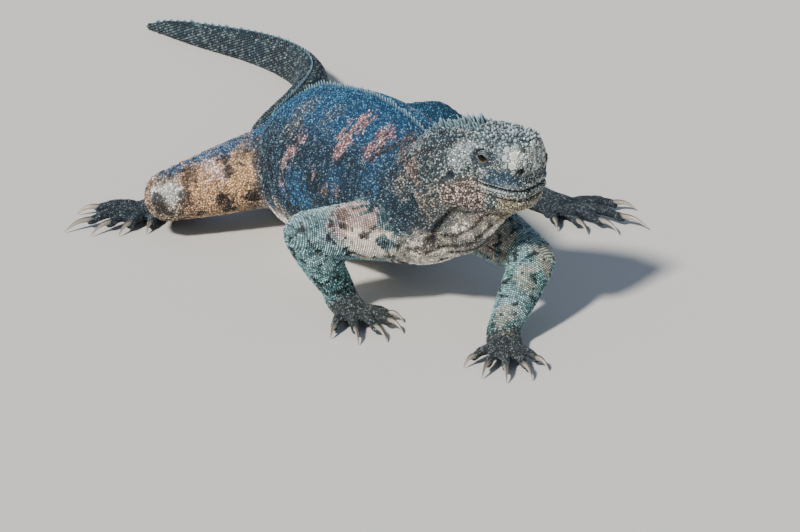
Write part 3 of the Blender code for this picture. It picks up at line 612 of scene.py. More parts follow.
def joined(shapes):
    """Shapes of points and faces as one."""
    points, faces = [], []
    for shape_points, shape_faces in shapes:
        faces.extend(tuple(i + len(points) for i in f) for f in shape_faces)
        points.extend(tuple(p) for p in shape_points)
    return points, faces


def whole_skin():
    """All lofts as one closed mesh, relaxed where parts meet."""
    shapes = [tube(TRUNK_ROWS, sides=36, crown=1.65), tube(NECK_ROWS, sides=32, crown=1.75), skull()]
    shapes += [tube(THROAT_ROWS, sides=24), tube(tail_rows(), sides=24)]
    for name in LIMB_JOINTS:
        shapes += limb(name)
    for foot in FEET:
        shapes.append(tube(palm_rows(foot), sides=20, steps=3))
        for number in range(5):
            shapes.append(tube(digit_rows(foot, number), sides=14, steps=2, blunt=(0.8, 0.7)))
    mesh = bpy.data.meshes.new("flesh")
    points, faces = joined(shapes)
    mesh.from_pydata(points, [], faces)
    flesh = linked("flesh", mesh)
    remesh = flesh.modifiers.new("whole", "REMESH")
    remesh.mode = "VOXEL"
    remesh.voxel_size = SKIN_CELL
    whole = bpy.data.meshes.new_from_object(flesh.evaluated_get(bpy.context.evaluated_depsgraph_get()))
    bpy.data.objects.remove(flesh)
    relaxed(whole, 14, joint_strength)
    relaxed(whole, 3, lambda points: np.full(len(points), 0.5))
    return whole


def refined(mesh, chosen):
    """Splits every face whose corners are all chosen into four."""
    bm = bmesh.new()
    bm.from_mesh(mesh)
    picked = [e for e in bm.edges if chosen[e.verts[0].index] and chosen[e.verts[1].index]]
    bmesh.ops.subdivide_edges(bm, edges=picked, cuts=1, use_grid_fill=True)
    bmesh.ops.triangulate(bm, faces=[f for f in bm.faces if len(f.verts) > 4])
    bm.to_mesh(mesh)
    bm.free()


def eye_axes(side):
    """The eye's own axes in the head's: Z out of the eye, X forward, Y up."""
    out = unit((0.16, side, 0.10))
    across = unit(Vector((1, 0, 0)) - out * out.x)
    return Matrix((across, across.cross(out) * side, out)).transposed()


def eye_centre(side):
    return np.array((EYE_SPOT[0], side * EYE_SPOT[1], EYE_SPOT[2]))


def eye_local(local, side):
    """The head's points in the eye's axes, its centre at the origin; y is up on both sides."""
    return (local - eye_centre(side)) @ np.array(eye_axes(side))


def from_eye(seen, side):
    """Points in the eye's axes, back in body axes."""
    return moved_by(HEAD, seen @ np.array(eye_axes(side)).T + eye_centre(side))


def almond(x, y):
    """1 on the edge of the opening between the lids, less inside and more outside."""
    x = (x + 0.0002) / OPENING_HALF_LENGTH
    y = y - 0.0002 + 0.0005 * x
    half = np.where(y > 0, *OPENING_HALF_HEIGHTS) * np.clip(1 - 0.45 * np.abs(x) ** 2, 0.25, 1)
    return np.sqrt(x**2 + (y / half) ** 2)


def eye_ridge(ridge, x, y):
    """1 along a ridge beside the eye, fading over its width and past its ends."""
    height, slope, bend, first, last, width, _ = ridge
    fade = 0.0015
    ends = ramp(x, first - fade, first + fade) * (1 - ramp(x, last - fade, last + fade))
    return bell(y - height - slope * x - bend * x**2, width) * ends


# The head's broad forms: a spot on the left side, its reach and its rise
HEAD_FORMS = (
    ((0.0120, 0.0270, -0.0100), 0.0110, 0.0024),   # cheek
    ((0.0118, 0.0255, 0.0042), 0.0036, 0.0009),    # front rim of the ear
    (EAR, 0.0034, -0.0028),
    ((0.0370, 0.0210, 0.0268), 0.0065, 0.0016),    # brow
    ((0.0270, 0.0230, 0.0252), 0.0065, 0.0012),    # back of the brow
    ((0.0390, 0.0220, 0.0182), 0.0060, -0.0006),   # socket
    ((0.0390, 0.0220, 0.0090), 0.0060, 0.0012),    # under the eye
    ((0.0510, 0.0210, 0.0140), 0.0065, -0.0010),   # between the eye and the nostril
    ((0.0635, 0.0150, 0.0145), 0.0045, 0.0010),    # nostril
)


def shape_head(mesh):
    """Cheeks, brows, ear hollows and the broad forms of the head, along the normals."""
    points = coordinates(mesh)
    sided = one_side(head_local(points))
    lift = sum(rise * near(sided, spot, reach) for spot, reach, rise in HEAD_FORMS)
    moved_to(mesh, points + normals_of(mesh) * lift[:, None])


# Round the mouth: height over its line, half width and rise of the lips, the mouth and the lower fold
MOUTH_FORMS = (
    (0.0026, 0.0016, 0.0009), (-0.0028, 0.0016, 0.0009), (0.0, 0.00062, -0.0019), (LIP_FOLD, 0.0009, -0.0014),
)


def shape_mouth(mesh):
    points = coordinates(mesh)
    local = head_local(points)
    above = local[:, 2] - mouth_height(local[:, 0])
    lift = sum(rise * bell(above - height, width) for height, width, rise in MOUTH_FORMS)
    jaw = ramp(local[:, 0], 0.033, 0.041)
    moved_to(mesh, points + normals_of(mesh) * (lift * jaw)[:, None])


def shape_nostrils(mesh):
    """An oval pit with a swollen rim and a flap across it, leaning forward."""
    points = coordinates(mesh)
    ahead = np.array((math.cos(NOSTRIL_TURN), -math.sin(NOSTRIL_TURN), 0))
    outward = np.array((math.sin(NOSTRIL_TURN), math.cos(NOSTRIL_TURN), 0))
    axes = np.column_stack([ahead, outward, (0, 0, 1)])
    from_middle = (one_side(head_local(points)) - np.array(NOSTRIL)) @ axes
    c, s = math.cos(NOSTRIL_LEAN), math.sin(NOSTRIL_LEAN)
    along = from_middle[:, 0] * c - from_middle[:, 2] * s
    across = from_middle[:, 0] * s + from_middle[:, 2] * c
    ring = np.sqrt((along / NOSTRIL_HALF_SIZES[0]) ** 2 + (across / NOSTRIL_HALF_SIZES[1]) ** 2)
    lift = 0.00085 * bell(ring - 1.5, 0.42) - 0.0022 * (1 - ramp(ring, 0.55, 1.05))
    lift += 0.0016 * bell(across, 0.00035) * (1 - ramp(np.abs(along), 0.0008, 0.0014))
    on_side = np.abs(from_middle[:, 1]) < 0.006
    moved_to(mesh, points + normals_of(mesh) * (lift * on_side)[:, None])


def shape_eyes(mesh):
    """Hugs the lids to the eyeball, opens them, and rings them with folds."""
    points = coordinates(mesh)
    for side in (1, -1):
        local = head_local(points)
        seen = eye_local(local, side)
        lateral = np.hypot(seen[:, 0], seen[:, 1])
        chosen = (lateral < 0.0130) & (seen[:, 2] > 0) & (local[:, 1] * side > 0)
        part, lateral = seen[chosen], lateral[chosen]
        edge = almond(part[:, 0], part[:, 1])
        hug = np.sqrt(np.maximum((EYE_RADIUS + LID_THICKNESS) ** 2 - lateral**2, 0))
        weight = 1 - ramp(lateral, 0.0036, 0.0082)
        height = part[:, 2] * (1 - weight) + hug * weight
        # a swollen rim, folds that follow the opening, then the ridges above and below
        height += 0.00045 * bell(edge - FOLD_START, 0.18)
        folds = np.cos((edge - FOLD_START) * 2 * math.pi / FOLD_PITCH)
        height += 0.00038 * folds * ramp(edge, 1.3, 1.6) * (1 - ramp(edge, 2.4, 3.0))
        for ridge in EYE_RIDGES:
            height += ridge[-1] * eye_ridge(ridge, part[:, 0], part[:, 1])
        opened = 1 - ramp(edge, 0.90, 1.06)
        behind = np.sqrt(np.maximum(EYE_RADIUS**2 - lateral**2, 0)) - 0.0016
        part[:, 2] = height * (1 - opened) + behind * opened
        points[chosen] = from_eye(part, side)
    moved_to(mesh, points)


# Folds of loose skin: points of the photo's frame that each follows, its width and its depth
FOLDS = (
    (((444, 133), (420, 138), (395, 146), (370, 160)), 0.0016, 0.0016),
    (((452, 142), (430, 150), (405, 160), (390, 175)), 0.0018, 0.0010),
    (((460, 206), (448, 214), (438, 226), (432, 240)), 0.0018, 0.0013),
    (((511, 212), (488, 215), (477, 226), (468, 232), (456, 236), (444, 236), (434, 232)), 0.0013, 0.0018),
    (((508, 215), (493, 224), (479, 238), (469, 245), (456, 247), (441, 247), (429, 252)), 0.0013, 0.0018),
    (((500, 226), (490, 238), (481, 246), (467, 251), (451, 252)), 0.0014, 0.0016),
    (((262, 160), (264, 180), (272, 200), (284, 214)), 0.0018, 0.0012),
    (((270, 150), (272, 175), (282, 197), (294, 208)), 0.0018, 0.0012),
    (((280, 170), (287, 190), (300, 203)), 0.0016, 0.0009),
    (((345, 132), (360, 128), (376, 124)), 0.0015, 0.0008),
    (((352, 146), (370, 140), (388, 134)), 0.0015, 0.0009),
    (((340, 158), (362, 152), (384, 147)), 0.0015, 0.0009),
    (((300, 120), (296, 140), (297, 160)), 0.0018, 0.0007),
    (((345, 250), (365, 257), (385, 262)), 0.0014, 0.0008),
    (((395, 246), (415, 252), (440, 256)), 0.0014, 0.0010),
    (((300, 222), (308, 240), (320, 256)), 0.0016, 0.0006),
    (((488, 247), (500, 254), (514, 256)), 0.0014, 0.0008),
)


def path_distance(points, path):
    """How far each point lies from a path."""
    best = np.full(len(points), np.inf)
    for a, b in zip(path[:-1], path[1:]):
        span = b - a
        t = np.clip(((points - a) @ span) / (span @ span), 0, 1)
        best = np.minimum(best, np.linalg.norm(points - (a + t[:, None] * span), axis=1))
    return best


def crease(points, normals, path, width, depth):
    """A groove with a raised lip on each side, where the surface lies near the path."""
    best = path_distance(points, path)
    ends = 1 - ramp(np.minimum(np.linalg.norm(points - path[0], axis=1),
                               np.linalg.norm(points - path[-1], axis=1)), 0.004, 0.0)
    lift = -depth * bell(best, width) + 0.55 * depth * bell(best - 2.0 * width, width)
    return normals * (lift * ends)[:, None]


def fold_skin(mesh):
    """Folds on the side that the photo shows and on the other. Gives their paths and the widths of the
    painted shade down their creases.
    """
    made = []
    full_depth = 0.0014  # of a fold whose line is as wide as its groove
    tree = BVHTree.FromPolygons(coordinates(mesh).tolist(), [tuple(p.vertices) for p in mesh.polygons])
    for pixels, width, depth in FOLDS:
        path = []
        for px, py in pixels:
            hit = tree.ray_cast(*photo_ray(px, py))
            if hit[0] is not None:
                path.append(np.array(hit[0]))
        if len(path) < 2:
            continue
        path = smooth_rows(path, 4)
        points = coordinates(mesh)
        normals = normals_of(mesh)
        shift = crease(points, normals, path, width, depth)
        made.append((path, width * min(1.0, depth / full_depth)))
        if path[:, 0].max() < 0.20:
            mirrored = path * (1, -1, 1)
            shift += crease(points, normals, mirrored, width, depth)
            made.append((mirrored, made[-1][1]))
        moved_to(mesh, points + shift)
    return made


def wrinkle_skin(mesh):
    """Shallow irregular folds across the neck, the flanks and the bends of the limbs."""
    points = coordinates(mesh)
    share, where = line_distances(points)
    owner = share.argmin(axis=1)
    lift = np.zeros(len(points))
    for i, line in enumerate(LINES):
        mine = owner == i
        if line.name == "head" or not mine.any():
            continue
        nearest = where[mine, i]
        past = ((points[mine] - line.points[nearest]) * line.along[nearest]).sum(axis=1)
        at, length = line.lengths[nearest] + past, line.lengths[-1]
        wander = cloud(points[mine], 0.014, 3 + i) * 2.4
        if line.name in ("neck", "trunk"):
            pitch, depth = 0.0085, 0.00055 if line.name == "neck" else 0.00030
        elif line.name.startswith(("forearm", "upper", "thigh", "shank")):
            pitch, depth = 0.0062, 0.00022 * (1 + 1.2 * (np.abs(at / length - 0.5) > 0.30))
        else:
            continue
        lift[mine] = depth * np.sin(at / pitch * 2 * math.pi + wander * 3) * (0.6 + 0.4 * wander)
    lift += 0.00035 * cloud(points, 0.009, 40)
    moved_to(mesh, points + normals_of(mesh) * lift[:, None])


def lay_on_floor(points):
    """Keeps the undersides on the floor."""
    points[:, 2] = np.maximum(points[:, 2], 0.0)
    return points


def within(points, spot, reach):
    return np.linalg.norm(points - np.array(spot), axis=1) < reach


def make_skin():
    """The skin with its forms, finer on the head and finest at the eyes, and the lines of its folds."""
    mesh = whole_skin()
    shape_head(mesh)
    wrinkle_skin(mesh)
    folds = fold_skin(mesh)
    local = head_local(coordinates(mesh))
    refined(mesh, (local[:, 0] > 0.004) & (np.abs(local[:, 1]) < 0.035) & (np.abs(local[:, 2]) < 0.04))
    relaxed(mesh, 3, lambda points: 0.55 * ramp(head_local(points)[:, 0], 0.002, 0.012))
    local = head_local(coordinates(mesh))
    lids = (EYE_SPOT[0], 0.021, EYE_SPOT[2])
    fine = within(one_side(local), lids, 0.0095) | within(one_side(local), NOSTRIL, 0.0055)
    above = local[:, 2] - mouth_height(local[:, 0])
    fine |= ((np.abs(above) < 0.0040) | (np.abs(above - LIP_FOLD) < 0.0020)) & (local[:, 0] > 0.030)
    refined(mesh, fine)
    relaxed(mesh, 2, lambda points: 0.5 * ramp(head_local(points)[:, 0], 0.002, 0.012))
    refined(mesh, within(one_side(head_local(coordinates(mesh))), lids, 0.0062))
    shape_mouth(mesh)
    shape_nostrils(mesh)
    shape_eyes(mesh)
    points = coordinates(mesh) - normals_of(mesh) * COAT_DEPTH
    moved_to(mesh, lay_on_floor(points))
    return mesh, folds


# Markings, and some painted light and shade. Colours are linear red, green and blue. Every part has
# a ground, the colour of its pale scales, and their share among the others

BLACK = (0.008, 0.010, 0.012)
PART_MARKS = {
    "head": ((0.014, 0.032, 0.042), (0.400, 0.440, 0.410), 0.58),
    "neck": ((0.008, 0.022, 0.033), (0.185, 0.205, 0.205), 0.36),
    "trunk": ((0.003, 0.020, 0.040), (0.092, 0.154, 0.202), 0.35),
    "tail": ((0.010, 0.026, 0.040), (0.110, 0.145, 0.155), 0.32),
    "upper_arm": ((0.006, 0.040, 0.050), (0.440, 0.680, 0.720), 0.74),
    "forearm": ((0.004, 0.046, 0.052), (0.340, 0.640, 0.630), 0.68),
    "hand": ((0.018, 0.024, 0.028), (0.150, 0.175, 0.180), 0.28),
    # painted shade and sky reflection: the left thigh and shank lie in shade and are coloured dark blue in
    # place of the leg's own colours
    "thigh_left": ((0.003, 0.042, 0.095), (0.045, 0.180, 0.300), 0.32),
    "thigh": ((0.170, 0.100, 0.062), (0.660, 0.440, 0.270), 0.84),
    "shank_left": ((0.003, 0.034, 0.075), (0.050, 0.150, 0.220), 0.30),
    "shank": ((0.028, 0.040, 0.048), (0.250, 0.240, 0.205), 0.42),
    "foot": ((0.012, 0.022, 0.032), (0.110, 0.140, 0.160), 0.24),
}
TONES = {
    "pink": ((0.080, 0.050, 0.062), (0.620, 0.370, 0.350), 0.74),
    "blush": ((0.180, 0.120, 0.112), (0.970, 0.720, 0.670), 0.90),
    "rust": ((0.060, 0.042, 0.038), (0.390, 0.220, 0.150), 0.52),
    "beige": ((0.060, 0.058, 0.055), (0.430, 0.370, 0.310), 0.56),
    "cream": ((0.200, 0.160, 0.110), (0.760, 0.690, 0.540), 0.86),
    "belly": ((0.760, 0.690, 0.550), (0.950, 0.910, 0.800), 0.95),
    "teal": ((0.010, 0.058, 0.068), (0.570, 0.800, 0.850), 0.84),
    # painted sky reflection: the blue that faces the sky and fills the shade, not a colour of the skin
    "sky reflection blue": ((0.003, 0.050, 0.125), (0.062, 0.235, 0.410), 0.40),
    "pale": ((0.090, 0.120, 0.135), (0.600, 0.670, 0.680), 0.82),
    "crown": ((0.008, 0.032, 0.050), (0.440, 0.560, 0.600), 0.62),
    "socket": ((0.010, 0.026, 0.042), (0.120, 0.170, 0.210), 0.42),
    "lip": ((0.008, 0.034, 0.062), (0.130, 0.220, 0.290), 0.44),
    "cheek": ((0.045, 0.036, 0.034), (0.500, 0.380, 0.320), 0.62),
    "chin": ((0.150, 0.120, 0.075), (0.520, 0.460, 0.320), 0.78),
    "snout": ((0.190, 0.210, 0.205), (0.840, 0.880, 0.840), 0.88),
    "nostril": ((0.012, 0.014, 0.016), (0.090, 0.095, 0.095), 0.25),
    "sand": ((0.280, 0.150, 0.075), (0.820, 0.540, 0.300), 0.88),
    "chalk": ((0.260, 0.260, 0.245), (0.880, 0.900, 0.870), 0.85),
    # black of the real markings, and painted shade down the folds' creases
    "black and crease shade": ((0.008, 0.010, 0.012), (0.050, 0.045, 0.040), 0.30),
    "ear": ((0.003, 0.012, 0.026), (0.060, 0.100, 0.140), 0.20),
    "streak": ((0.004, 0.010, 0.018), (0.050, 0.080, 0.100), 0.22),
    "blotch": ((0.020, 0.020, 0.020), (0.120, 0.100, 0.090), 0.30),
    # painted highlight on the ridges of the lids' folds, and painted shade in their grooves
    "lid ridge highlight": ((0.220, 0.260, 0.280), (0.440, 0.490, 0.500), 0.80),
    "lid groove shade": (BLACK, (0.040, 0.050, 0.060), 0.20),
    "lid edge": (BLACK, (0.030, 0.035, 0.040), 0.20),
    # pale bands of the lips: partly their pale scales, partly a painted sheen
    "pale upper lip and sheen": ((0.090, 0.100, 0.100), (0.520, 0.540, 0.480), 0.75),
    "pale lower lip and sheen": ((0.090, 0.100, 0.100), (0.500, 0.520, 0.460), 0.75),
    # painted shade in the mouth's slit and in the fold under the lower lip
    "mouth": (BLACK, BLACK, 0.50),
}

# Patches of the body in the order that they are laid: their tone, and for each the point of the
# photo's frame where it shows, its reach and its strength
PATCHES = (
    ("pink", (
        (364, 121, 0.0080, 0.90), (354, 131, 0.0090, 0.90), (345, 142, 0.0090, 0.85),
        (338, 153, 0.0070, 0.80), (388, 133, 0.0075, 0.85), (378, 142, 0.0080, 0.85),
        (368, 152, 0.0065, 0.80), (300, 137, 0.0060, 0.65), (291, 152, 0.0065, 0.70),
        (285, 164, 0.0060, 0.65), (284, 183, 0.0045, 0.75), (312, 175, 0.0040, 0.65),
    )),
    ("rust", ((325, 190, 0.0048, 0.75), (337, 192, 0.0048, 0.75))),
    ("beige", ((303, 110, 0.0150, 0.38), (330, 118, 0.0120, 0.32), (292, 128, 0.0100, 0.40))),
    ("rust", ((405, 150, 0.0110, 0.60), (412, 168, 0.0110, 0.65))),
    ("beige", (
        (402, 186, 0.0090, 0.50), (424, 200, 0.0110, 0.75), (428, 216, 0.0085, 0.75),
        (445, 195, 0.0090, 0.45), (276, 204, 0.0065, 0.75), (284, 213, 0.0060, 0.75),
        (258, 165, 0.0070, 0.40),
    )),
    # painted sky reflection: blue where the back and the flank lie in shade
    ("sky reflection blue", (
        (278, 110, 0.0150, 0.85), (256, 132, 0.0140, 0.85), (310, 92, 0.0130, 0.80),
        (345, 92, 0.0130, 0.70), (296, 192, 0.0150, 0.75), (335, 177, 0.0120, 0.45),
        (372, 178, 0.0130, 0.40), (395, 120, 0.0100, 0.45),
    )),
    ("blush", (
        (338, 214, 0.0100, 0.95), (354, 212, 0.0110, 0.95), (364, 226, 0.0110, 0.95),
        (346, 228, 0.0100, 0.90),
    )),
    ("cream", ((374, 238, 0.0080, 0.75),)),
    ("blush", ((330, 226, 0.0070, 0.70),)),
    ("teal", ((318, 212, 0.0120, 0.85), (300, 217, 0.0110, 0.85))),
    ("blush", ((490, 240, 0.0110, 0.75),)),
    ("cream", ((508, 238, 0.0130, 0.80),)),
    ("teal", ((530, 238, 0.0110, 0.90),)),
    ("cream", ((545, 256, 0.0120, 0.60),)),
    ("teal", ((520, 262, 0.0110, 0.90),)),
    ("cream", ((524, 282, 0.0110, 0.50),)),
    ("teal", ((512, 300, 0.0110, 0.90),)),
    ("cream", ((505, 318, 0.0080, 0.45),)),
    ("belly", ((499, 221, 0.0060, 0.90), (489, 230, 0.0052, 0.85), (464, 230, 0.0060, 0.75))),
    ("cream", ((447, 240, 0.0060, 0.60),)),
    ("rust", ((478, 219, 0.0055, 0.55),)),
    ("beige", ((472, 240, 0.0050, 0.50),)),
    ("belly", (
        (350, 244, 0.0080, 0.90), (372, 250, 0.0110, 0.90), (396, 254, 0.0110, 0.85),
        (420, 258, 0.0100, 0.80), (446, 256, 0.0090, 0.70),
    )),
    ("sand", (
        (248, 168, 0.0110, 0.85), (236, 184, 0.0110, 0.80), (214, 190, 0.0110, 0.80),
        (194, 194, 0.0100, 0.65),
    )),
    ("blush", ((216, 170, 0.0080, 0.80),)),
    ("chalk", ((166, 190, 0.0090, 0.85), (174, 200, 0.0070, 0.60))),
    ("black and crease shade", (
        (222, 196, 0.0060, 0.95), (229, 172, 0.0035, 0.85), (252, 197, 0.0045, 0.90),
        (186, 197, 0.0040, 0.70), (160, 207, 0.0060, 0.85), (190, 176, 0.0070, 0.60),
    )),
    ("teal", ((318, 236, 0.0110, 0.80), (322, 252, 0.0110, 0.75), (330, 266, 0.0080, 0.55))),
    ("rust", ((343, 213, 0.0050, 0.75),)),
    # darker patches on the throat between its folds
    ("black and crease shade", ((440, 243, 0.0048, 0.50), (453, 242, 0.0045, 0.55), (426, 236, 0.0060, 0.45))),
)

# The same for the head, in its own axes: x, y and z of a spot on the left side
HEAD_PATCHES = (
    ((0.040, 0.000, 0.0350), 0.0240, "crown", 0.75), ((0.058, 0.000, 0.0350), 0.0140, "crown", 0.70),
    ((0.026, 0.0245, 0.0235), 0.0090, "pale", 0.90), ((0.020, 0.0250, 0.0160), 0.0075, "pale", 0.75),
    ((0.066, 0.000, 0.0215), 0.0120, "snout", 0.75), ((0.061, 0.0150, 0.0220), 0.0080, "snout", 0.85),
    ((0.054, 0.0190, 0.0225), 0.0060, "pale", 0.60), ((0.055, 0.0200, 0.0060), 0.0075, "lip", 0.85),
    ((0.046, 0.0215, 0.0080), 0.0060, "lip", 0.80), ((0.062, 0.0160, 0.0055), 0.0055, "lip", 0.60),
    ((0.031, 0.0245, -0.0060), 0.0135, "cheek", 0.90), ((0.018, 0.0260, -0.0100), 0.0120, "cheek", 0.80),
    ((0.055, 0.0150, -0.0125), 0.0100, "chin", 0.85), ((0.050, 0.000, -0.0210), 0.0170, "chin", 0.85),
    ((0.064, 0.000, -0.0120), 0.0085, "chin", 0.70), ((0.036, 0.0150, -0.0210), 0.0090, "cheek", 0.50),
    ((0.0640, 0.0150, 0.0140), 0.0034, "nostril", 0.95), ((0.0170, 0.0250, 0.0038), 0.0034, "ear", 0.95),
    ((0.0120, 0.0255, 0.0042), 0.0022, "pale", 0.85),
)


def blend(colours, others, weight):
    """Colours turned towards others by a weight for each."""
    return colours * (1 - weight[:, None]) + np.array(others) * weight[:, None]


def kind_of(line, kinds):
    return next(kind for kind in kinds if line.name.startswith(kind))


def on_head(local):
    """1 on the head, from behind the ears to the snout, and 0 elsewhere."""
    return ramp(local[:, 0], -0.004, 0.006) * (np.linalg.norm(local - (0.03, 0, 0.004), axis=1) < 0.055)


def facing_up(points, where, name):
    """1 where a point lies straight over a part's line, and -1 straight under it."""
    i = line_number(name)
    out = points - LINES[i].points[where[:, i]]
    return out[:, 2] / (np.linalg.norm(out, axis=1) + 1e-9)


class Marks:
    """The ground, the colour of the pale scales and their share at some points."""

    def __init__(self, points, share, where):
        weight = np.exp(-9 * share)
        weight /= weight.sum(axis=1)[:, None]
        self.ground = np.zeros((len(points), 3))
        self.light = np.zeros((len(points), 3))
        self.share = np.zeros(len(points))
        self.kinds = {}
        self.groups = {}
        for i, line in enumerate(LINES):
            kind, group = kind_of(line, PART_MARKS), group_of(line)
            ground, light, part = PART_MARKS[kind]
            self.ground += weight[:, i:i + 1] * np.array(ground)
            self.light += weight[:, i:i + 1] * np.array(light)
            self.share += weight[:, i] * part
            self.kinds[kind] = self.kinds.get(kind, 0) + weight[:, i]
            self.groups[group] = self.groups.get(group, 0) + weight[:, i]
        self.ragged = cloud(points, 0.011, 11)
        self.fine = cloud(points, 0.0035, 21, 2)
        self.bars = cloud(points @ STREAK, 0.0060, 31, 2)
        self.add_blotches()
        self.add_belly(points, where)
        self.add_patches(points)
        self.add_folds(points)
        self.add_head(points)
        self.ground = np.clip(self.ground, 0.004, 0.9)
        self.share = np.clip(self.share, 0.05, 1)

    def turn(self, tone, weight):
        """Turns the marks towards a tone by a weight for each point."""
        ground, light, share = TONES[tone]
        self.ground = blend(self.ground, ground, weight)
        self.light = blend(self.light, light, weight)
        self.share = self.share * (1 - weight) + share * weight

    def add_blotches(self):
        """Mottling of the body, the arms and the right thigh."""
        body = self.kinds["trunk"] + self.kinds["neck"] + self.kinds["tail"]
        self.share += body * (0.22 * self.bars - 0.14 * self.ragged)
        self.ground = blend(self.ground, BLACK, body * 0.5 * ramp(self.ragged, 0.02, 0.4))
        arms = self.kinds["upper_arm"] + self.kinds["forearm"]
        self.share -= arms * 0.20 * ramp(self.ragged + 0.5 * self.fine, 0.10, 0.5)
        self.ground = blend(self.ground, BLACK, arms * 0.2 * ramp(self.ragged + self.fine, 0.2, 0.6))
        self.turn("streak", self.kinds["trunk"] * 0.7 * ramp(self.bars - 0.3 * self.fine, 0.16, 0.34))
        dark = ramp(self.ragged + 0.6 * self.fine, 0.12, 0.28)
        self.turn("blotch", self.kinds["thigh"] * 0.9 * dark)

    def add_belly(self, points, where):
        """A cream underside with black patches, and a blue back painted as the sky's reflection, by how far
        round a point lies.
        """
        for name, cream, edge, blue in (("trunk", 1.0, 0.07, 0.80), ("neck", 0.30, -0.06, 0.30)):
            up = facing_up(points, where, name)
            under = ramp(0.10 * self.ragged - up, 0.42, 0.66) * self.kinds[name] * cream
            self.turn("belly", under * 0.95)
            self.turn("black and crease shade", under * 0.95 * ramp(self.ragged + 0.6 * self.fine, edge, edge + 0.07))
            # painted sky reflection: the upward-facing back and neck turned blue
            self.turn("sky reflection blue", ramp(up, 0.50, 0.85) * self.kinds[name] * blue)
        # painted sky reflection on the top of the right thigh
        up = facing_up(points, where, "thigh_right") + 0.10 * self.ragged
        self.turn("sky reflection blue", 0.85 * ramp(up, 0.80, 0.95) * self.kinds["thigh"])

    def add_patches(self, points):
        """The body's patches, each kept to its group of parts, then dark spots on the arms."""
        for centre, reach, tone, strength, group in BODY_PATCHES:
            distance = np.linalg.norm(points - centre, axis=1) / reach
            inside = strength * ramp(self.groups[group], 0.35, 0.65)
            self.turn(tone, inside * (1 - ramp(distance + 1.5 * self.bars + 1.1 * self.fine, 0.55, 1.15)))
        arms = self.kinds["upper_arm"] + self.kinds["forearm"]
        self.turn("black and crease shade", arms * 0.85 * ramp(self.fine + 0.5 * self.ragged, 0.26, 0.36))

    def add_folds(self, points):
        """Painted shade: dark lines down the creases of the folds of loose skin."""
        margin = 0.004
        for path, width in FOLD_LINES:
            low, high = path.min(axis=0) - margin, path.max(axis=0) + margin
            close = ((points > low) & (points < high)).all(axis=1)
            weight = np.zeros(len(points))
            weight[close] = np.minimum(0.97, 1.25 * bell(path_distance(points[close], path), 1.10 * width))
            self.turn("black and crease shade", weight)

    def add_head(self, points):
        """The head's patches, the rings round the eyes with painted highlight on their folds' ridges and
        painted shade in their grooves, and the lines of the mouth, painted as shade.
        """
        local = head_local(points)
        there = on_head(local)
        for centre, reach, tone, strength in HEAD_PATCHES:
            distance = np.linalg.norm(one_side(local) - np.array(centre), axis=1) / reach
            edge = distance + 0.3 * self.ragged + 0.3 * self.fine
            self.turn(tone, there * strength * (1 - ramp(edge, 0.65, 1.15)))
        for side in (1, -1):
            seen = eye_local(local, side)
            x, y = seen[:, 0], seen[:, 1]
            facing = there * (seen[:, 2] > 0) * (local[:, 1] * side > 0)
            round_eye = np.hypot(x / SOCKET[0], y / SOCKET[1]) + 0.12 * self.fine
            self.turn("socket", 0.9 * facing * (1 - ramp(round_eye, 0.75, 1.10)))
            edge = almond(x, y)
            band = facing * ramp(edge, 1.10, 1.20) * (1 - ramp(edge, 2.6, 3.2))
            fold = np.cos((edge - FOLD_START) * 2 * math.pi / FOLD_PITCH)
            # painted highlight on the folds' ridges and painted shade in their grooves
            self.turn("lid ridge highlight", 0.90 * band * ramp(fold, 0.1, 0.9))
            self.turn("lid groove shade", 0.7 * band * ramp(-fold, 0.1, 0.8))
            self.turn("lid edge", facing * (1 - ramp(edge, 1.02, 1.16)))
            for ridge in EYE_RIDGES:
                self.turn("pale", 0.85 * facing * eye_ridge(ridge, x, y))
        above = local[:, 2] - mouth_height(local[:, 0])
        mouth = ramp(local[:, 0], 0.033, 0.038) * there
        # pale bands along the lips: partly their pale scales, partly a painted sheen on their swell
        self.turn("pale lower lip and sheen", mouth * 0.7 * bell(above + 0.0042, 0.0014))
        self.turn("pale upper lip and sheen", mouth * 0.7 * (bell(above - 0.0030, 0.0012) * ramp(local[:, 0], 0.050, 0.058)))
        # painted shade: black along the mouth's slit and down the fold under the lower lip
        for height, width in ((0.0, 0.0008), (LIP_FOLD, 0.0009)):
            self.turn("mouth", bell(above - height, width) * mouth * 0.95)

    def mean(self):
        """The colour with ground and pale scales blended."""
        return self.ground * (1 - self.share[:, None]) + self.light * self.share[:, None]


def group_of(line):
    """The part of the body that a patch keeps to."""
    for group, kinds in (("arm", ("upper_arm", "forearm", "hand")), ("leg", ("thigh", "shank", "foot"))):
        if line.name.startswith(kinds):
            return group
    return "body"


def patch_centres(skin):
    """Each body patch's place on the skin, and the same on the other side of the trunk."""
    found = []
    for tone, patches in PATCHES:
        for px, py, reach, strength in patches:
            hit = skin.cast(*photo_ray(px, py))
            if hit is None:
                continue
            spot, group = hit[0], group_of(LINES[skin.owner[hit[1]]])
            found.append((spot, reach, tone, strength, group))
            if 0.02 < spot[0] < 0.20 and spot[1] < 0 and group == "body":
                found.append((spot * (1, -1, 1) + OTHER_SIDE_SHIFT, reach, tone, strength, group))
    return found


def paint(obj, colours):
    """Gives each vertex its colour, which the materials read."""
    layer = obj.data.attributes.new("paint", "FLOAT_COLOR", "POINT")
    flat = np.ones((len(colours), 4), np.float32)
    flat[:, :3] = colours
    layer.data.foreach_set("color", flat.ravel())


# Materials


def painted_material(name):
    """A material of the painted colour, with its nodes, links, shader and colour."""
    made = bpy.data.materials.new(name)
    made.use_nodes = True
    nodes, links = made.node_tree.nodes, made.node_tree.links
    colour = nodes.new("ShaderNodeAttribute")
    colour.attribute_name = "paint"
    return made, nodes, links, nodes["Principled BSDF"], colour.outputs["Color"]


def spread(nodes, links, value, low, high):
    """A value from 0 to 1 brought between two others."""
    made = nodes.new("ShaderNodeMapRange")
    made.inputs["To Min"].default_value = low
    made.inputs["To Max"].default_value = high
    links.new(value, made.inputs["Value"])
    return made.outputs["Result"]


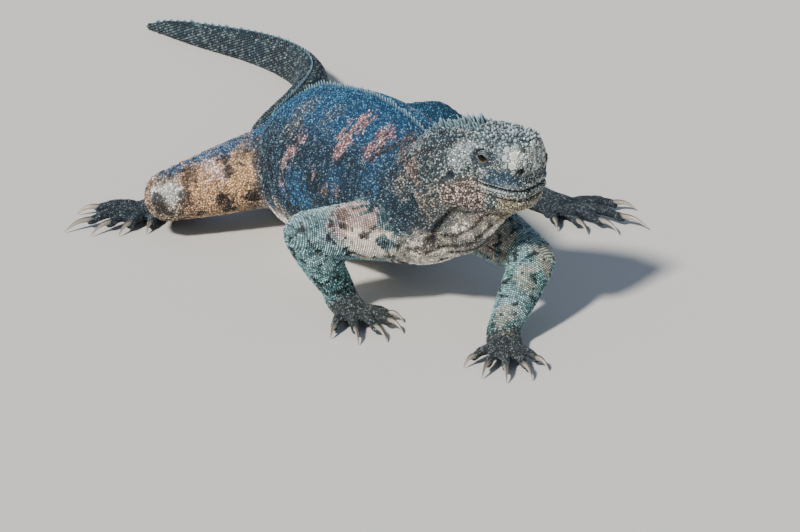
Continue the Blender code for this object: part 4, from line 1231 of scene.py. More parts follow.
def skin_material(name, roughness, bump_size, bump_depth, gloss=0.35):
    """The painted colour, its tone, roughness and relief varied by a fine grain."""
    made, nodes, links, shader, colour = painted_material(name)
    shader.inputs["Specular IOR Level"].default_value = gloss
    place = nodes.new("ShaderNodeTexCoord")
    noise = nodes.new("ShaderNodeTexNoise")
    noise.inputs["Scale"].default_value = 1 / bump_size
    noise.inputs["Detail"].default_value = 3
    links.new(place.outputs["Object"], noise.inputs["Vector"])
    grain = noise.outputs["Fac"]
    shade = nodes.new("ShaderNodeMix")
    shade.data_type = "RGBA"
    shade.blend_type = "MULTIPLY"
    shade.inputs["Factor"].default_value = 1.0
    links.new(colour, shade.inputs["A"])
    links.new(spread(nodes, links, grain, 0.62, 1.35), shade.inputs["B"])
    links.new(shade.outputs["Result"], shader.inputs["Base Color"])
    rough = spread(nodes, links, grain, roughness - 0.10, roughness + 0.12)
    links.new(rough, shader.inputs["Roughness"])
    bump = nodes.new("ShaderNodeBump")
    bump.inputs["Strength"].default_value = 0.6
    bump.inputs["Distance"].default_value = bump_depth
    links.new(grain, bump.inputs["Height"])
    links.new(bump.outputs["Normal"], shader.inputs["Normal"])
    return made


def eye_material():
    """A wet, glossy ball with its painted pupil and iris."""
    made, _, links, shader, colour = painted_material("eyeball")
    shader.inputs["Roughness"].default_value = 0.08
    shader.inputs["Specular IOR Level"].default_value = 0.2
    shader.inputs["Coat Weight"].default_value = 0.08
    shader.inputs["Coat Roughness"].default_value = 0.03
    links.new(colour, shader.inputs["Base Color"])
    return made


# Scales


def template(rings, tip, sides):
    """A closed small form of rings (radius, height), with a point on top and a flat base, in unit sizes."""
    angles = [2 * math.pi * (k + 0.5) / sides for k in range(sides)]
    points = [(reach * math.cos(a), reach * math.sin(a), height) for reach, height in rings for a in angles]
    tris, quads = end_tris(len(rings), sides), ring_quads(len(rings), sides)
    return np.array([*points, tip]), np.array(tris), np.array(quads)


GRANULE = template(((1.0, -0.35), (0.78, 0.60)), (0.0, 0.0, 1.0), 5)
KEELED = template(((1.0, -0.35), (0.76, 0.50)), (0.40, 0.0, 1.10), 5)
CONE = template(((1.0, -0.25), (0.72, 0.22), (0.30, 0.66)), (0.12, 0.0, 1.0), 7)
PLATE = template(((1.0, -0.40), (0.98, 0.52), (0.84, 0.68), (0.60, 0.98)), (0.0, 0.0, 1.0), 6)
PIECE_TRIANGLES = 180000  # the most in one piece of the coat
PATCH_REACH = 0.0015      # half a scale's patch of the bake map


class Coat:
    """Scales of one form: places, axes, sizes and colours, gathered and then made as pieces."""

    def __init__(self, name, shape, slot):
        self.name, self.shape, self.slot = name, shape, slot
        self.sets = []

    def add(self, skin, roots, vertices, ways, sizes, grounds, colours, tips):
        """sizes are half length, half width and height. Colours are of the foot, darkened as painted shade
        between the scales, the side, and the top, paler partly as a painted highlight.
        """
        normals, seats = skin.normals[vertices], skin.seat(roots, vertices)
        self.sets.append((roots, normals, ways, sizes, grounds, colours, tips, seats))

    def make(self, material):
        sets = [np.concatenate(part) for part in zip(*self.sets)]
        order = np.argsort(sets[0][:, 0], kind="stable")
        faces = len(self.shape[1]) + 2 * len(self.shape[2])
        pieces = math.ceil(len(order) * faces / PIECE_TRIANGLES)
        made = []
        for n, chosen in enumerate(np.array_split(order, pieces)):
            name = f"{self.name}_{n + 1}" if pieces > 1 else self.name
            made.append(self.piece(name, material, *(part[chosen] for part in sets)))
        return made

    def piece(self, name, material, roots, normals, ways, sizes, grounds, colours, tips, seats):
        across = np.cross(normals, ways)
        points, tris, quads = self.shape
        places = roots[:, None] + (
            ways[:, None] * (points[None, :, 0:1] * sizes[:, None, 0:1])
            + across[:, None] * (points[None, :, 1:2] * sizes[:, None, 1:2])
            + normals[:, None] * (points[None, :, 2:3] * sizes[:, None, 2:3])
        )
        first = (np.arange(len(roots)) * len(points))[:, None, None]
        made = mesh_piece(name, lay_on_floor(places.reshape(-1, 3)), (tris[None] + first).reshape(-1, 3),
                          (quads[None] + first).reshape(-1, 4), material)
        # from the darker foot, painted shade between the scales, to the paler top, partly a painted highlight
        side = ramp(points[:, 2], -0.1, 0.7)[None, :, None]
        top = ramp(points[:, 2], 0.5, 1.0)[None, :, None]
        shades = grounds[:, None] * (1 - side) + colours[:, None] * side
        paint(made, (shades * (1 - top) + tips[:, None] * top).reshape(-1, 3))
        add_bake_map(made, (seats[:, None] + points[None, :, :2] * PATCH_REACH).reshape(-1, 2))
        return made


def add_bake_map(made, spots):
    """The bake map, from a place for each vertex."""
    corners = read_rows(made.data.loops, "vertex_index", np.int32, 1)[:, 0]
    layer = made.data.uv_layers.new(name="OFBake")
    layer.data.foreach_set("uv", spots[corners].astype(np.float32).ravel())


class Skin:
    """The finished skin in body axes: a tree for casting on it, and the part that each vertex is of."""

    def __init__(self, mesh):
        self.points, self.normals = coordinates(mesh), normals_of(mesh)
        polygons = [tuple(p.vertices) for p in mesh.polygons]
        self.tree = BVHTree.FromPolygons(self.points.tolist(), polygons)
        self.first = np.array([p[0] for p in polygons])
        mesh.calc_loop_triangles()
        self.corners = read_rows(mesh.loop_triangles, "vertices", np.int32, 3)
        self.share, self.where = line_distances(self.points)
        self.owner = self.share.argmin(axis=1)

    def cast(self, start, way):
        """Where a ray meets the skin, and the nearest vertex, or None."""
        hit = self.tree.ray_cast(Vector(start), Vector(way))
        return None if hit[0] is None else (np.array(hit[0]), self.first[hit[2]])

    def cast_on_head(self, start, way):
        return self.cast(HEAD @ Vector(start), HEAD.to_3x3() @ Vector(way))

    def nearest(self, points):
        spots, vertices = [], []
        for p in points:
            hit = self.tree.find_nearest(p)
            spots.append(hit[0])
            vertices.append(self.first[hit[2]])
        return np.array(spots).reshape(-1, 3), np.array(vertices, int)

    def random_places(self, count):
        """Places spread evenly at random over the surface."""
        a, b, c = (self.points[self.corners[:, k]] for k in range(3))
        areas = np.linalg.norm(np.cross(b - a, c - a), axis=1)
        chosen = RNG.choice(len(areas), count, p=areas / areas.sum())
        u, v = RNG.random((2, count))
        flip = u + v > 1
        u[flip], v[flip] = 1 - u[flip], 1 - v[flip]
        spots = a[chosen] + (b - a)[chosen] * u[:, None] + (c - a)[chosen] * v[:, None]
        return spots, self.corners[chosen, 0]

    def marks(self, points, vertices):
        return Marks(points, self.share[vertices], self.where[vertices])

    def ways(self, vertices):
        """The lie of the scales: along the part's line, laid on the surface."""
        found = np.zeros((len(vertices), 3))
        for i, line in enumerate(LINES):
            mine = self.owner[vertices] == i
            found[mine] = line.along[self.where[vertices[mine], i]]
        return laid(found, self.normals[vertices])

    def seat(self, roots, vertices):
        """Places on an unwrap of the skin: each part a band, its length one way and its turn the other."""
        columns, margin = 6, 0.04
        rows = math.ceil(len(LINES) / columns)
        spots = np.zeros((len(roots), 2))
        for i, line in enumerate(LINES):
            mine = self.owner[vertices] == i
            if not mine.any():
                continue
            k = self.where[vertices[mine], i]
            along = line.along[k]
            out = roots[mine] - line.points[k]
            up = np.array((0.0, 0.0, 1.0)) - along * along[:, 2:3]
            up /= np.linalg.norm(up, axis=1)[:, None] + 1e-9
            left = np.cross(along, up)
            turn = np.arctan2((out * left).sum(1), (out * up).sum(1)) / (2 * math.pi) + 0.5
            reach = (line.lengths[k] + (out * along).sum(1)) / line.lengths[-1]
            t = np.clip(reach, -0.1, 1.1) * 0.8 + 0.1
            spots[mine, 0] = (i % columns + margin + (1 - 2 * margin) * t) / columns
            spots[mine, 1] = (i // columns + margin + (1 - 2 * margin) * turn) / rows
        return spots


def laid(ways, normals):
    """Ways laid on the surface, as unit vectors."""
    ways = ways - normals * (ways * normals).sum(1)[:, None]
    return ways / (np.linalg.norm(ways, axis=1)[:, None] + 1e-9)


class Spots:
    """Scales already set, as places with radii, so that a new one is kept clear of them."""

    CELL = 0.0030

    def __init__(self):
        self.cells = {}

    def key(self, p):
        return tuple(int(value // self.CELL) for value in p[:3])

    def free(self, p, radius, closeness):
        a, b, c = self.key(p)
        for cell in itertools.product((a - 1, a, a + 1), (b - 1, b, b + 1), (c - 1, c, c + 1)):
            for q in self.cells.get(cell, ()):
                limit = closeness * (radius + q[3])
                if (p[0] - q[0]) ** 2 + (p[1] - q[1]) ** 2 + (p[2] - q[2]) ** 2 < limit * limit:
                    return False
        return True

    def keep_free(self, points, radii, closeness=0.80):
        """Adds each place that is free, in turn, and says which ones were."""
        kept = np.zeros(len(points), bool)
        for n, (p, r) in enumerate(zip(points.tolist(), radii.tolist())):
            if self.free(p, r, closeness):
                self.cells.setdefault(self.key(p), []).append((*p, r))
                kept[n] = True
        return kept


def bare(points, normals):
    """Where no scale grows: the eye's opening, the nostrils, the mouth's lines and what lies on the floor."""
    local = head_local(points)
    found = (points[:, 2] < 0.0006) & (normals[:, 2] < -0.5)
    for side in (1, -1):
        seen = eye_local(local, side)
        found |= (seen[:, 2] > 0) & (almond(seen[:, 0], seen[:, 1]) < 2.05) & (local[:, 1] * side > 0)
    found |= within(one_side(local), NOSTRIL, 0.0017) | within(one_side(local), EAR, 0.0026)
    above = local[:, 2] - mouth_height(local[:, 0])
    there = on_head(local) > 0
    found |= there & (local[:, 0] > 0.035) & (np.abs(above) < 0.00065)
    found |= there & (local[:, 0] > 0.038) & (np.abs(above - LIP_FOLD) < 0.0006)
    return found


# Kinds of scale: the coat's name and form, half length, half width and height as shares of the
# scale's size, how far its top turns pale (partly a painted highlight), how unlike its neighbours it may be,
# and the slot
KINDS = {
    "head": ("scales_head", GRANULE, 0.56, 0.54, 0.50, 0.50, 0.42, "skin_head"),
    "neck": ("scales_neck", GRANULE, 0.56, 0.54, 0.42, 0.30, 0.40, "skin_body"),
    "trunk": ("scales_trunk", GRANULE, 0.57, 0.53, 0.38, 0.12, 0.42, "skin_body"),
    "tail": ("scales_tail", KEELED, 0.66, 0.52, 0.36, 0.22, 0.30, "skin_tail"),
    "upper_arm": ("scales_arms", KEELED, 0.41, 0.57, 0.46, 0.45, 0.22, "skin_arm"),
    "forearm": ("scales_arms", KEELED, 0.41, 0.57, 0.46, 0.30, 0.24, "skin_arm"),
    "hand": ("scales_hands", GRANULE, 0.58, 0.56, 0.36, 0.14, 0.30, "skin_foot"),
    "thigh": ("scales_legs", GRANULE, 0.60, 0.58, 0.34, 0.10, 0.20, "skin_thigh"),
    "shank": ("scales_legs", KEELED, 0.58, 0.54, 0.38, 0.25, 0.35, "skin_thigh"),
    "foot": ("scales_feet", GRANULE, 0.58, 0.56, 0.36, 0.12, 0.30, "skin_foot"),
}
RINGED = ("tail", "upper_arm", "forearm", "hand", "foot")
# the pale that the scales' tops turn towards, partly as a painted highlight
WHITE = np.array((0.60, 0.61, 0.55))


def scale_places(skin, line):
    """Staggered rings of places on the surface round a line, one ring a scale's length from the next."""
    found = []
    turn, at = 0, -line.radii[0] * 0.9
    while at < line.lengths[-1] + line.radii[-1] * 0.9:
        centre = np.array([np.interp(at, line.lengths, line.points[:, axis]) for axis in range(3)])
        along = np.array([np.interp(at, line.lengths, line.along[:, axis]) for axis in range(3)])
        along /= np.linalg.norm(along)
        centre = centre + along * (min(at, 0.0) + max(0.0, at - line.lengths[-1]))
        lean = Vector((0, 0, 1)) if abs(along[2]) < 0.8 else Vector((1, 0, 0))
        left = unit(lean.cross(Vector(along)))
        top = Vector(along).cross(left)
        radius = np.interp(at, line.lengths, line.radii)
        steps = max(16, int(2 * math.pi * radius / 0.0022))
        hits = []
        for k in range(steps):
            angle = 2 * math.pi * k / steps - math.pi / 2
            way = left * math.cos(angle) + top * math.sin(angle)
            hit = skin.tree.ray_cast(Vector(centre), way, radius * 2.2)
            hits.append(None if hit[0] is None else np.array(hit[0]))
        run, travelled, due = hits[0], 0.0, (turn % 2) * 0.5 * line.spacing
        for ahead in hits[1:] + hits[:1]:
            if run is not None and ahead is not None:
                span = float(np.linalg.norm(ahead - run))
                if span < 0.008:
                    while due <= travelled + span:
                        found.append(run + (ahead - run) * ((due - travelled) / max(span, 1e-9)))
                        due += line.spacing
                    travelled += span
            run = ahead
        turn += 1
        at += line.spacing
    return np.array(found).reshape(-1, 3)


def scale_radii(skin, points, vertices):
    """Half a scale's size: fine round the eyes and on the lips, coarse on the cheeks and the belly."""
    radii = np.array([line.spacing / 2 for line in LINES])[skin.owner[vertices]]
    local = head_local(points)
    there = on_head(local)
    sided = one_side(local)
    cheek = np.maximum(near(sided, (0.028, 0.025, -0.006), 0.015), near(sided, (0.016, 0.026, -0.010), 0.014))
    radii *= 1 + there * 0.22 * cheek
    for side in (1, -1):
        seen = eye_local(local, side)
        inside = (seen[:, 2] > 0) * (local[:, 1] * side > 0)
        lids = 1 - ramp(np.hypot(seen[:, 0] / 0.012, seen[:, 1] / 0.008), 0.6, 1.1)
        radii *= 1 - 0.42 * there * inside * lids
    lip = bell(local[:, 2] - 0.004, 0.006) * ramp(local[:, 0], 0.040, 0.048)
    radii *= 1 - 0.22 * there * lip
    below = ramp(-skin.normals[vertices, 2], 0.5, 0.9) * (there == 0)
    return radii * (1 + 0.30 * below) * RNG.uniform(0.88, 1.12, len(points))


def dress(skin, spots, coats):
    """Sets the small scales: in rings on the limbs and the tail, and scattered over all the rest."""
    sets = []
    for i, line in enumerate(LINES):
        if not line.name.startswith(RINGED):
            continue
        places, vertices = skin.nearest(scale_places(skin, line))
        mine = (skin.owner[vertices] == i) & ~bare(places, skin.normals[vertices])
        places, vertices = places[mine], vertices[mine]
        radii = np.full(len(places), line.spacing / 2)
        kept = spots.keep_free(places, radii)
        sets.append((places[kept], vertices[kept], radii[kept]))
    places, vertices = skin.random_places(SCATTER_TRIES)
    good = ~bare(places, skin.normals[vertices])
    places, vertices = places[good], vertices[good]
    radii = scale_radii(skin, places, vertices)
    kept = spots.keep_free(places, radii)
    sets.append((places[kept], vertices[kept], radii[kept]))
    places, vertices, radii = (np.concatenate(part) for part in zip(*sets))
    marks = skin.marks(places, vertices)
    ways = skin.ways(vertices)
    for i, line in enumerate(LINES):
        mine = skin.owner[vertices] == i
        if mine.any():
            add_scales(skin, coats, line, places[mine], vertices[mine], radii[mine], ways[mine], marks, mine)


def paleness(share, spread=0.5):
    """How pale each scale is: dark or pale at a small spread, and mostly between them at a large one."""
    return np.clip((share - RNG.random(len(share))) / spread + 0.5, 0, 1) ** 1.3


def add_scales(skin, coats, line, places, vertices, radii, ways, marks, mine):
    name, shape, half_length, half_width, height, pale, unlike, slot = KINDS[kind_of(line, KINDS)]
    count = len(places)
    size = 2 * radii * RNG.uniform(0.95, 1.10, count)
    high = size * height * RNG.uniform(0.8, 1.3, count)
    sizes = np.column_stack([size * half_length, size * half_width, high])
    light = paleness(marks.share[mine], 1.1 if name == "scales_arms" else 0.5)
    own = blend(marks.ground[mine], marks.light[mine], light)
    own = own * np.exp(RNG.normal(0, unlike, count))[:, None]
    # paler tops: partly the scales' own pale tips, partly a painted highlight
    tips = blend(own, np.maximum(WHITE, own), pale * RNG.uniform(0.1, 1.0, count) * (0.3 + 0.7 * light))
    coat = coats.setdefault(name, Coat(name, shape, slot))
    # darker feet: painted shade between the scales
    coat.add(skin, places, vertices, ways, sizes, marks.ground[mine] * 0.55, own, tips)


# The head's larger scales

BACKWARD, DOWN = (-1, 0, 0), (0, 0, -1)
PLATE_MIDDLE = (0.66, 0.64, 0.56)  # how a plate's middle is darker than its rim
# Plates of the snout, each at a point of the photo's frame, with its width
SNOUT_PLATES = (
    (514.0, 156.0, 0.0054), (512.6, 166.0, 0.0052), (507.0, 149.5, 0.0038), (504.5, 158.0, 0.0034),
    (521.5, 149.5, 0.0036), (528.0, 149.0, 0.0034), (534.5, 151.0, 0.0032), (522.0, 157.5, 0.0034),
    (528.5, 156.5, 0.0036), (534.5, 158.5, 0.0034), (539.5, 161.0, 0.0028), (524.5, 164.0, 0.0032),
    (531.0, 165.0, 0.0034), (537.0, 167.5, 0.0030), (532.0, 172.5, 0.0030), (505.0, 167.0, 0.0030),
)


def head_casts():
    """The large scales of the head, as where to cast from, the way, the width and whether it is a plate."""
    casts = []
    for row, column in itertools.product(range(8), range(9)):
        z = 0.0318 - row * 0.0029
        y = (column - 4 + (0.5 if row % 2 else 0.0)) * 0.0035
        dy, dz = RNG.uniform(-0.0004, 0.0004, 2)
        casts.append(((0.12, y + dy, z + dz), BACKWARD, RNG.uniform(0.0030, 0.0038), row > 0))
    for row, column in itertools.product(range(26), range(-9, 10)):
        x = 0.0690 - row * 0.0026
        y = (column + (0.5 if row % 2 else 0.0)) * 0.0029
        dx, dy = RNG.uniform(-0.0006, 0.0006, 2)
        width = (0.0026 + 0.0010 * float(ramp(np.array(x), 0.030, 0.055))) * RNG.uniform(0.80, 1.15)
        casts.append(((x + dx, y + dy, 0.06), DOWN, width, False))
    return casts


def snout_rows(skin):
    """The snout's plates on both sides: place, vertex, width and that it is a plate."""
    rows = []
    for px, py, width in SNOUT_PLATES:
        spot, vertex = skin.cast(*photo_ray(px, py))
        mirrored = head_local(spot[None])[0] * (1, -1, 1)
        (other,), (other_vertex,) = skin.nearest([HEAD @ Vector(mirrored)])
        rows += [(*spot, vertex, width, True), (*other, other_vertex, width, True)]
    return rows


def cast_rows(skin):
    """The same for plates over the front of the snout and cones over the head's top."""
    rows = []
    for start, way, width, plate in head_casts():
        hit = skin.cast_on_head(start, way)
        if hit is None:
            continue
        x, _, z = head_local(hit[0][None])[0]
        facing = float(skin.normals[hit[1]] @ np.array(HEAD)[:3, 2])
        on_top = way == DOWN and facing >= 0.30 and x >= 0.008 and z >= 0.020
        in_front = way == BACKWARD and x >= 0.058 and z >= 0.0095
        if on_top or in_front:
            rows.append((*hit[0], hit[1], width, plate))
    return rows


def add_head_scales(skin, spots, coats):
    """Conical scales over the top of the head and plates over the snout."""
    rows = np.array(snout_rows(skin) + cast_rows(skin))
    good = ~bare(rows[:, :3], skin.normals[rows[:, 3].astype(int)])
    good[good] = spots.keep_free(rows[good, :3], rows[good, 4] / 2, 0.88)
    rows = rows[good]
    places, vertices, widths, plates = rows[:, :3], rows[:, 3].astype(int), rows[:, 4], rows[:, 5] > 0
    marks = skin.marks(places, vertices)
    ways = laid(np.tile(-np.array(HEAD)[:3, 0], (len(places), 1)), skin.normals[vertices])
    for flat, shape, name, rise in ((True, PLATE, "plates_head", 0.22), (False, CONE, "cones_head", 0.72)):
        chosen = plates == flat
        count = chosen.sum()
        light = paleness(np.full(count, 0.90) if flat else marks.share[chosen] + 0.05)
        own = blend(marks.ground[chosen] * 1.2, marks.light[chosen], light)
        own = own * np.exp(RNG.normal(0, 0.20, count))[:, None]
        # pale tops of the cones: partly their own, partly a painted highlight
        tips = blend(own, np.maximum(WHITE, own), RNG.uniform(0.35, 0.95, count) * (not flat))
        if flat:
            own, tips = own * 1.2, tips * PLATE_MIDDLE
        wide = widths[chosen]
        sizes = np.column_stack([wide * 0.55, wide * 0.54, wide * rise * RNG.uniform(0.8, 1.15, count)])
        coat = coats.setdefault(name, Coat(name, shape, "skin_head"))
        # darker feet: painted shade between the scales
        grounds = marks.ground[chosen] * 0.5
        coat.add(skin, places[chosen], vertices[chosen], ways[chosen], sizes, grounds, own, tips)


def add_lip_plates(skin, spots, coats):
    """A row of plates along each lip."""
    places, vertices = [], []
    for side, lip, k in itertools.product((-1, 1), (1, -1), range(19)):
        x = 0.0385 + k * 0.0018
        outward = float(ramp(np.array(x), 0.056, 0.068)) * 0.9
        way = unit((-outward, -side * (1 - outward), 0))
        z = float(mouth_height(x)) + lip * 0.0018
        hit = skin.cast_on_head(Vector((x, 0, z)) - way * 0.05, way)
        if hit is not None:
            places.append(hit[0])
            vertices.append(hit[1])
    places, vertices = np.array(places), np.array(vertices)
    kept = spots.keep_free(places, np.full(len(places), 0.0010))
    places, vertices = places[kept], vertices[kept]
    ways = laid(np.tile(np.array(HEAD)[:3, 0], (len(places), 1)), skin.normals[vertices])
    marks = skin.marks(places, vertices)
    count = len(places)
    own = marks.mean() * np.exp(RNG.normal(0, 0.25, count))[:, None]
    # paler tops: partly the plates' own pale, partly a painted highlight
    tips = blend(own, WHITE, RNG.uniform(0.10, 0.55, count))
    sizes = np.tile((0.00112, 0.00098, 0.00050), (count, 1)) * RNG.uniform(0.9, 1.1, (count, 1))
    # darker feet: painted shade between the plates
    coats["plates_head"].add(skin, places, vertices, ways, sizes, marks.ground * 0.5, own, tips)


# The crest

# Each kind of spine: spacing, height, length and width of the root, and the backward lean
CREST = {
    "nape": (0.0034, 0.0090, 0.0032, 0.0024, 0.20),
    "neck": (0.0034, 0.0042, 0.0032, 0.0022, 0.35),
    "back": (0.0033, 0.0036, 0.0036, 0.0024, 0.40),
    "tail": (0.0060, 0.0048, 0.0062, 0.0026, 0.60),
}
# Smaller spines beside the crest on the nape and the neck: distance from it and share of its height
BESIDE = ((0.0030, 0.72), (0.0058, 0.46), (0.0088, 0.30))
SPINE_RINGS, SPINE_SIDES = 9, 10
SPINE_POINTS = SPINE_RINGS * SPINE_SIDES + 1
CREST_ROOT, CREST_TIP = np.array((0.002, 0.026, 0.044)), np.array((0.32, 0.52, 0.58))


def crest_stations():
    """Floor plan of the crest from the nape to the tail's tip, with each spine's kind."""
    path = [(HEAD @ Vector((x, 0, 0)), "nape") for x in (0.0255, 0.0222, 0.0188, 0.0152, 0.0116)]
    bend = smooth_rows([
        (*path[-1][0].xy, 0), (0.206, -0.006, 0), (0.190, -0.001, 0), (0.17, 0, 0), (0.10, 0, 0),
        (0.03, 0, 0), (-0.024, 0, 0),
    ], 60)[:, :2]
    gone, last = 0.0, bend[0]
    for spot in bend[1:]:
        gone += float(np.linalg.norm(spot - last))
        last = spot
        kind = "neck" if spot[0] > 0.186 else "back"
        if gone >= CREST[kind][0]:
            gone = 0.0
            path.append((Vector((*spot, 0)), kind))
    t = 0.012
    while t < 0.97:
        path.append((Vector((*tail_line(t), 0)), "tail"))
        t += CREST["tail"][0] / TAIL_LENGTH * (1 - 0.35 * t)
    return path


def spine(root, forward, rise, height, length, width, lean):
    """The points of a flattened spine that leans back: rings from the sunk root, then the tip."""
    left = rise.cross(forward)
    points = []
    for r, k in itertools.product(range(SPINE_RINGS), range(SPINE_SIDES)):
        t, angle = r / SPINE_RINGS, 2 * math.pi * k / SPINE_SIDES
        size = (1 - t) ** 0.8 * (1 + 0.25 * (1 - t) ** 4)
        back = lean * height * max(0.0, t - 0.05) ** 1.6
        points.append(root - forward * back + rise * (height * (t * 1.12 - 0.12))
                      + forward * (math.cos(angle) * length * 0.52 * size)
                      + left * (math.sin(angle) * width * 0.50 * size))
    return [*points, root - forward * lean * height + rise * height]


def crest_spines(skin):
    """Every spine's root, vertex, heading, rise and sizes: the crest, and the small ones beside its front."""
    found = []
    stations = crest_stations()
    for k, (spot, kind) in enumerate(stations):
        behind = stations[min(k + 1, len(stations) - 1)][0]
        ahead = stations[max(k - 1, 0)][0]
        forward = unit(Vector((ahead.x - behind.x, ahead.y - behind.y, 0)))
        left = Vector((-forward.y, forward.x, 0))
        _, height, length, width, lean = CREST[kind]
        size = RNG.uniform(0.62, 1.15)
        lean += RNG.uniform(-0.15, 0.25)
        if kind == "tail":
            size *= 1 - 0.45 * k / len(stations)
            width *= max(0.55, 1 - 0.6 * (k / len(stations)))
        hit = skin.cast((spot.x, spot.y, 0.3), (0, 0, -1))
        if hit is not None:
            found.append((*hit, forward, Vector((0, 0, 1)), (height * size, length, width, lean)))
        if kind not in ("nape", "neck"):
            continue
        for away, share in BESIDE:
            for side in (-1, 1):
                place = spot + left * side * (away + RNG.uniform(-0.0005, 0.0005))
                place += forward * RNG.uniform(-0.0010, 0.0010)
                hit = skin.cast((place.x, place.y, 0.3), (0, 0, -1))
                rise = unit(Vector(skin.normals[hit[1]]) + Vector((0, 0, 0.4)))
                sizes = (height * share * RNG.uniform(0.7, 1.2), length * 0.75, width * 0.9, lean)
                found.append((*hit, unit(forward - rise * forward.dot(rise)), rise, sizes))
    return found


def make_crest(skin, spots, material):
    """All spines as one piece, from blue roots to pale tips."""
    spines = crest_spines(skin)
    points = []
    for root, _, forward, rise, sizes in spines:
        points += spine(Vector(root), forward, rise, *sizes)
    roots = np.array([row[0] for row in spines])
    vertices = np.array([row[1] for row in spines])
    spots.keep_free(roots, np.full(len(roots), 0.0009), 0.0)
    first = (np.arange(len(spines)) * SPINE_POINTS)[:, None, None]
    tris = np.array(end_tris(SPINE_RINGS, SPINE_SIDES)) + first
    quads = np.array(ring_quads(SPINE_RINGS, SPINE_SIDES)) + first
    made = mesh_piece("crest", points, tris, quads, material)
    marks = skin.marks(roots, vertices)
    owners = np.repeat(np.arange(len(spines)), SPINE_POINTS)
    own = (marks.mean() * np.exp(RNG.normal(0, 0.3, len(roots)))[:, None])[owners]
    rings = np.repeat(np.arange(SPINE_RINGS) / SPINE_RINGS, SPINE_SIDES)
    shares = np.tile(np.append(rings, 1.0), len(spines))
    share = shares[:, None]
    paint(made, (own * 0.30 + CREST_ROOT) * (1 - share) + (own * 0.25 + CREST_TIP) * share**2.2)
    turns = np.tile(np.arange(SPINE_SIDES) / SPINE_SIDES, SPINE_RINGS)
    around = np.tile(np.append(turns, 0.5), len(spines))
    patch = np.column_stack([around, shares]) * 2 * PATCH_REACH
    add_bake_map(made, skin.seat(roots, vertices)[owners] + patch)
    return made


# Claws and eyes

CLAW_RINGS, CLAW_SIDES = 14, 16
CLAW_HALF_WIDTH, CLAW_HALF_HEIGHT = 0.0019, 0.0024
CLAW_TIP_HEIGHT = 0.0006
HORN, HORN_ROOT, HORN_TIP = np.array((0.50, 0.45, 0.37)), np.array((0.02, 0.02, 0.02)), (0.10, 0.09, 0.07)


def claw(foot, number):
    """A curved, tapering claw, a gap's width in front of its digit."""
    t = 1 - CLAW_SHARE
    spot = digit_line(foot, number, t)
    ahead = unit(spot - digit_line(foot, number, t - 0.08))
    length = FEET[foot][2][number][1] * CLAW_SHARE
    level = unit((ahead.x, ahead.y, 0))
    start = spot - ahead * 0.0006
    points, colours = [], []
    for r in range(CLAW_RINGS):
        t = r / CLAW_RINGS
        bow = math.sin(math.pi * t)
        centre = start + level * length * (t + 0.02 * bow) + Vector((0, 0, 0.0016 * bow))
        centre.z -= (start.z - CLAW_TIP_HEIGHT) * t**2.2
        slope = unit(level + Vector((0, 0, 0.55 - 1.5 * t))) if r else ahead
        left = unit(Vector((0, 0, 1)).cross(slope))
        top = slope.cross(left)
        size = (1 - t) ** 0.75
        root = 0.8 * (1 - t) ** 3
        for k in range(CLAW_SIDES):
            angle = 2 * math.pi * k / CLAW_SIDES
            across, rise = CLAW_HALF_WIDTH * size * math.cos(angle), CLAW_HALF_HEIGHT * size * math.sin(angle)
            points.append(centre + left * across + top * rise)
            ridge, under = max(0.0, math.sin(angle)) ** 3, max(0.0, -math.sin(angle)) ** 2
            horn = HORN * (1 - 0.85 * ridge) * (1 - 0.55 * under)
            colours.append(horn * (1 - root) + HORN_ROOT * root)
    points.append(Vector((start.x, start.y, CLAW_TIP_HEIGHT)) + level * length)
    colours.append(np.array(HORN_TIP))
    low = min(p.z for p in points)
    points = [p + Vector((0, 0, max(0.0, 0.0002 - low))) for p in points]
    return points, end_tris(CLAW_RINGS, CLAW_SIDES), ring_quads(CLAW_RINGS, CLAW_SIDES), np.array(colours)


# the iris: dark above as painted shadow of the brow, gold below as painted light, and its rim
IRIS_SHADED_TOP, IRIS_LIT_GOLD, IRIS_RIM = (0.016, 0.011, 0.006), (0.310, 0.190, 0.070), (0.03, 0.02, 0.01)
PUPIL, EYE_SKIN = (0.002, 0.002, 0.002), (0.012, 0.011, 0.010)


def eyeball(side):
    """A ball with a low cornea; its colour follows the angle from the eye's own axis. Painted light leaves
    the iris gold only below, and painted shade darkens it above.
    """
    bm = bmesh.new()
    bmesh.ops.create_uvsphere(bm, u_segments=64, v_segments=48, radius=1.0)
    bm.verts.index_update()
    ways = np.array([tuple(v.co) for v in bm.verts])
    tris = [tuple(v.index for v in f.verts) for f in bm.faces if len(f.verts) == 3]
    quads = [tuple(v.index for v in f.verts) for f in bm.faces if len(f.verts) == 4]
    bm.free()
    angle = np.degrees(np.arccos(np.clip(ways[:, 2], -1, 1)))
    radius = (EYE_RADIUS - 0.00012) * (1 + 0.020 * bell(angle, 22))
    turn = np.arctan2(ways[:, 1], ways[:, 0])
    streaks = 0.70 + 0.30 * np.sin(turn * 23 + 2 * np.sin(turn * 7)) * np.sin(turn * 11)
    # painted light and shade: the iris gold below and dark above
    below = ramp(-ways[:, 1], 0.10, 0.40)
    iris = blend(np.tile(IRIS_SHADED_TOP, (len(ways), 1)), IRIS_LIT_GOLD, below) * streaks[:, None]
    iris = blend(iris, IRIS_RIM, ramp(angle, 32, 38))
    colour = blend(iris, PUPIL, 1 - ramp(angle, 21.5, 23.5))
    colour = blend(colour, EYE_SKIN, ramp(angle, 37, 42))
    points = from_eye(ways * radius[:, None], side)
    if side > 0:
        tris = [face[::-1] for face in tris]
        quads = [face[::-1] for face in quads]
    return points, tris, quads, colour


# The setting

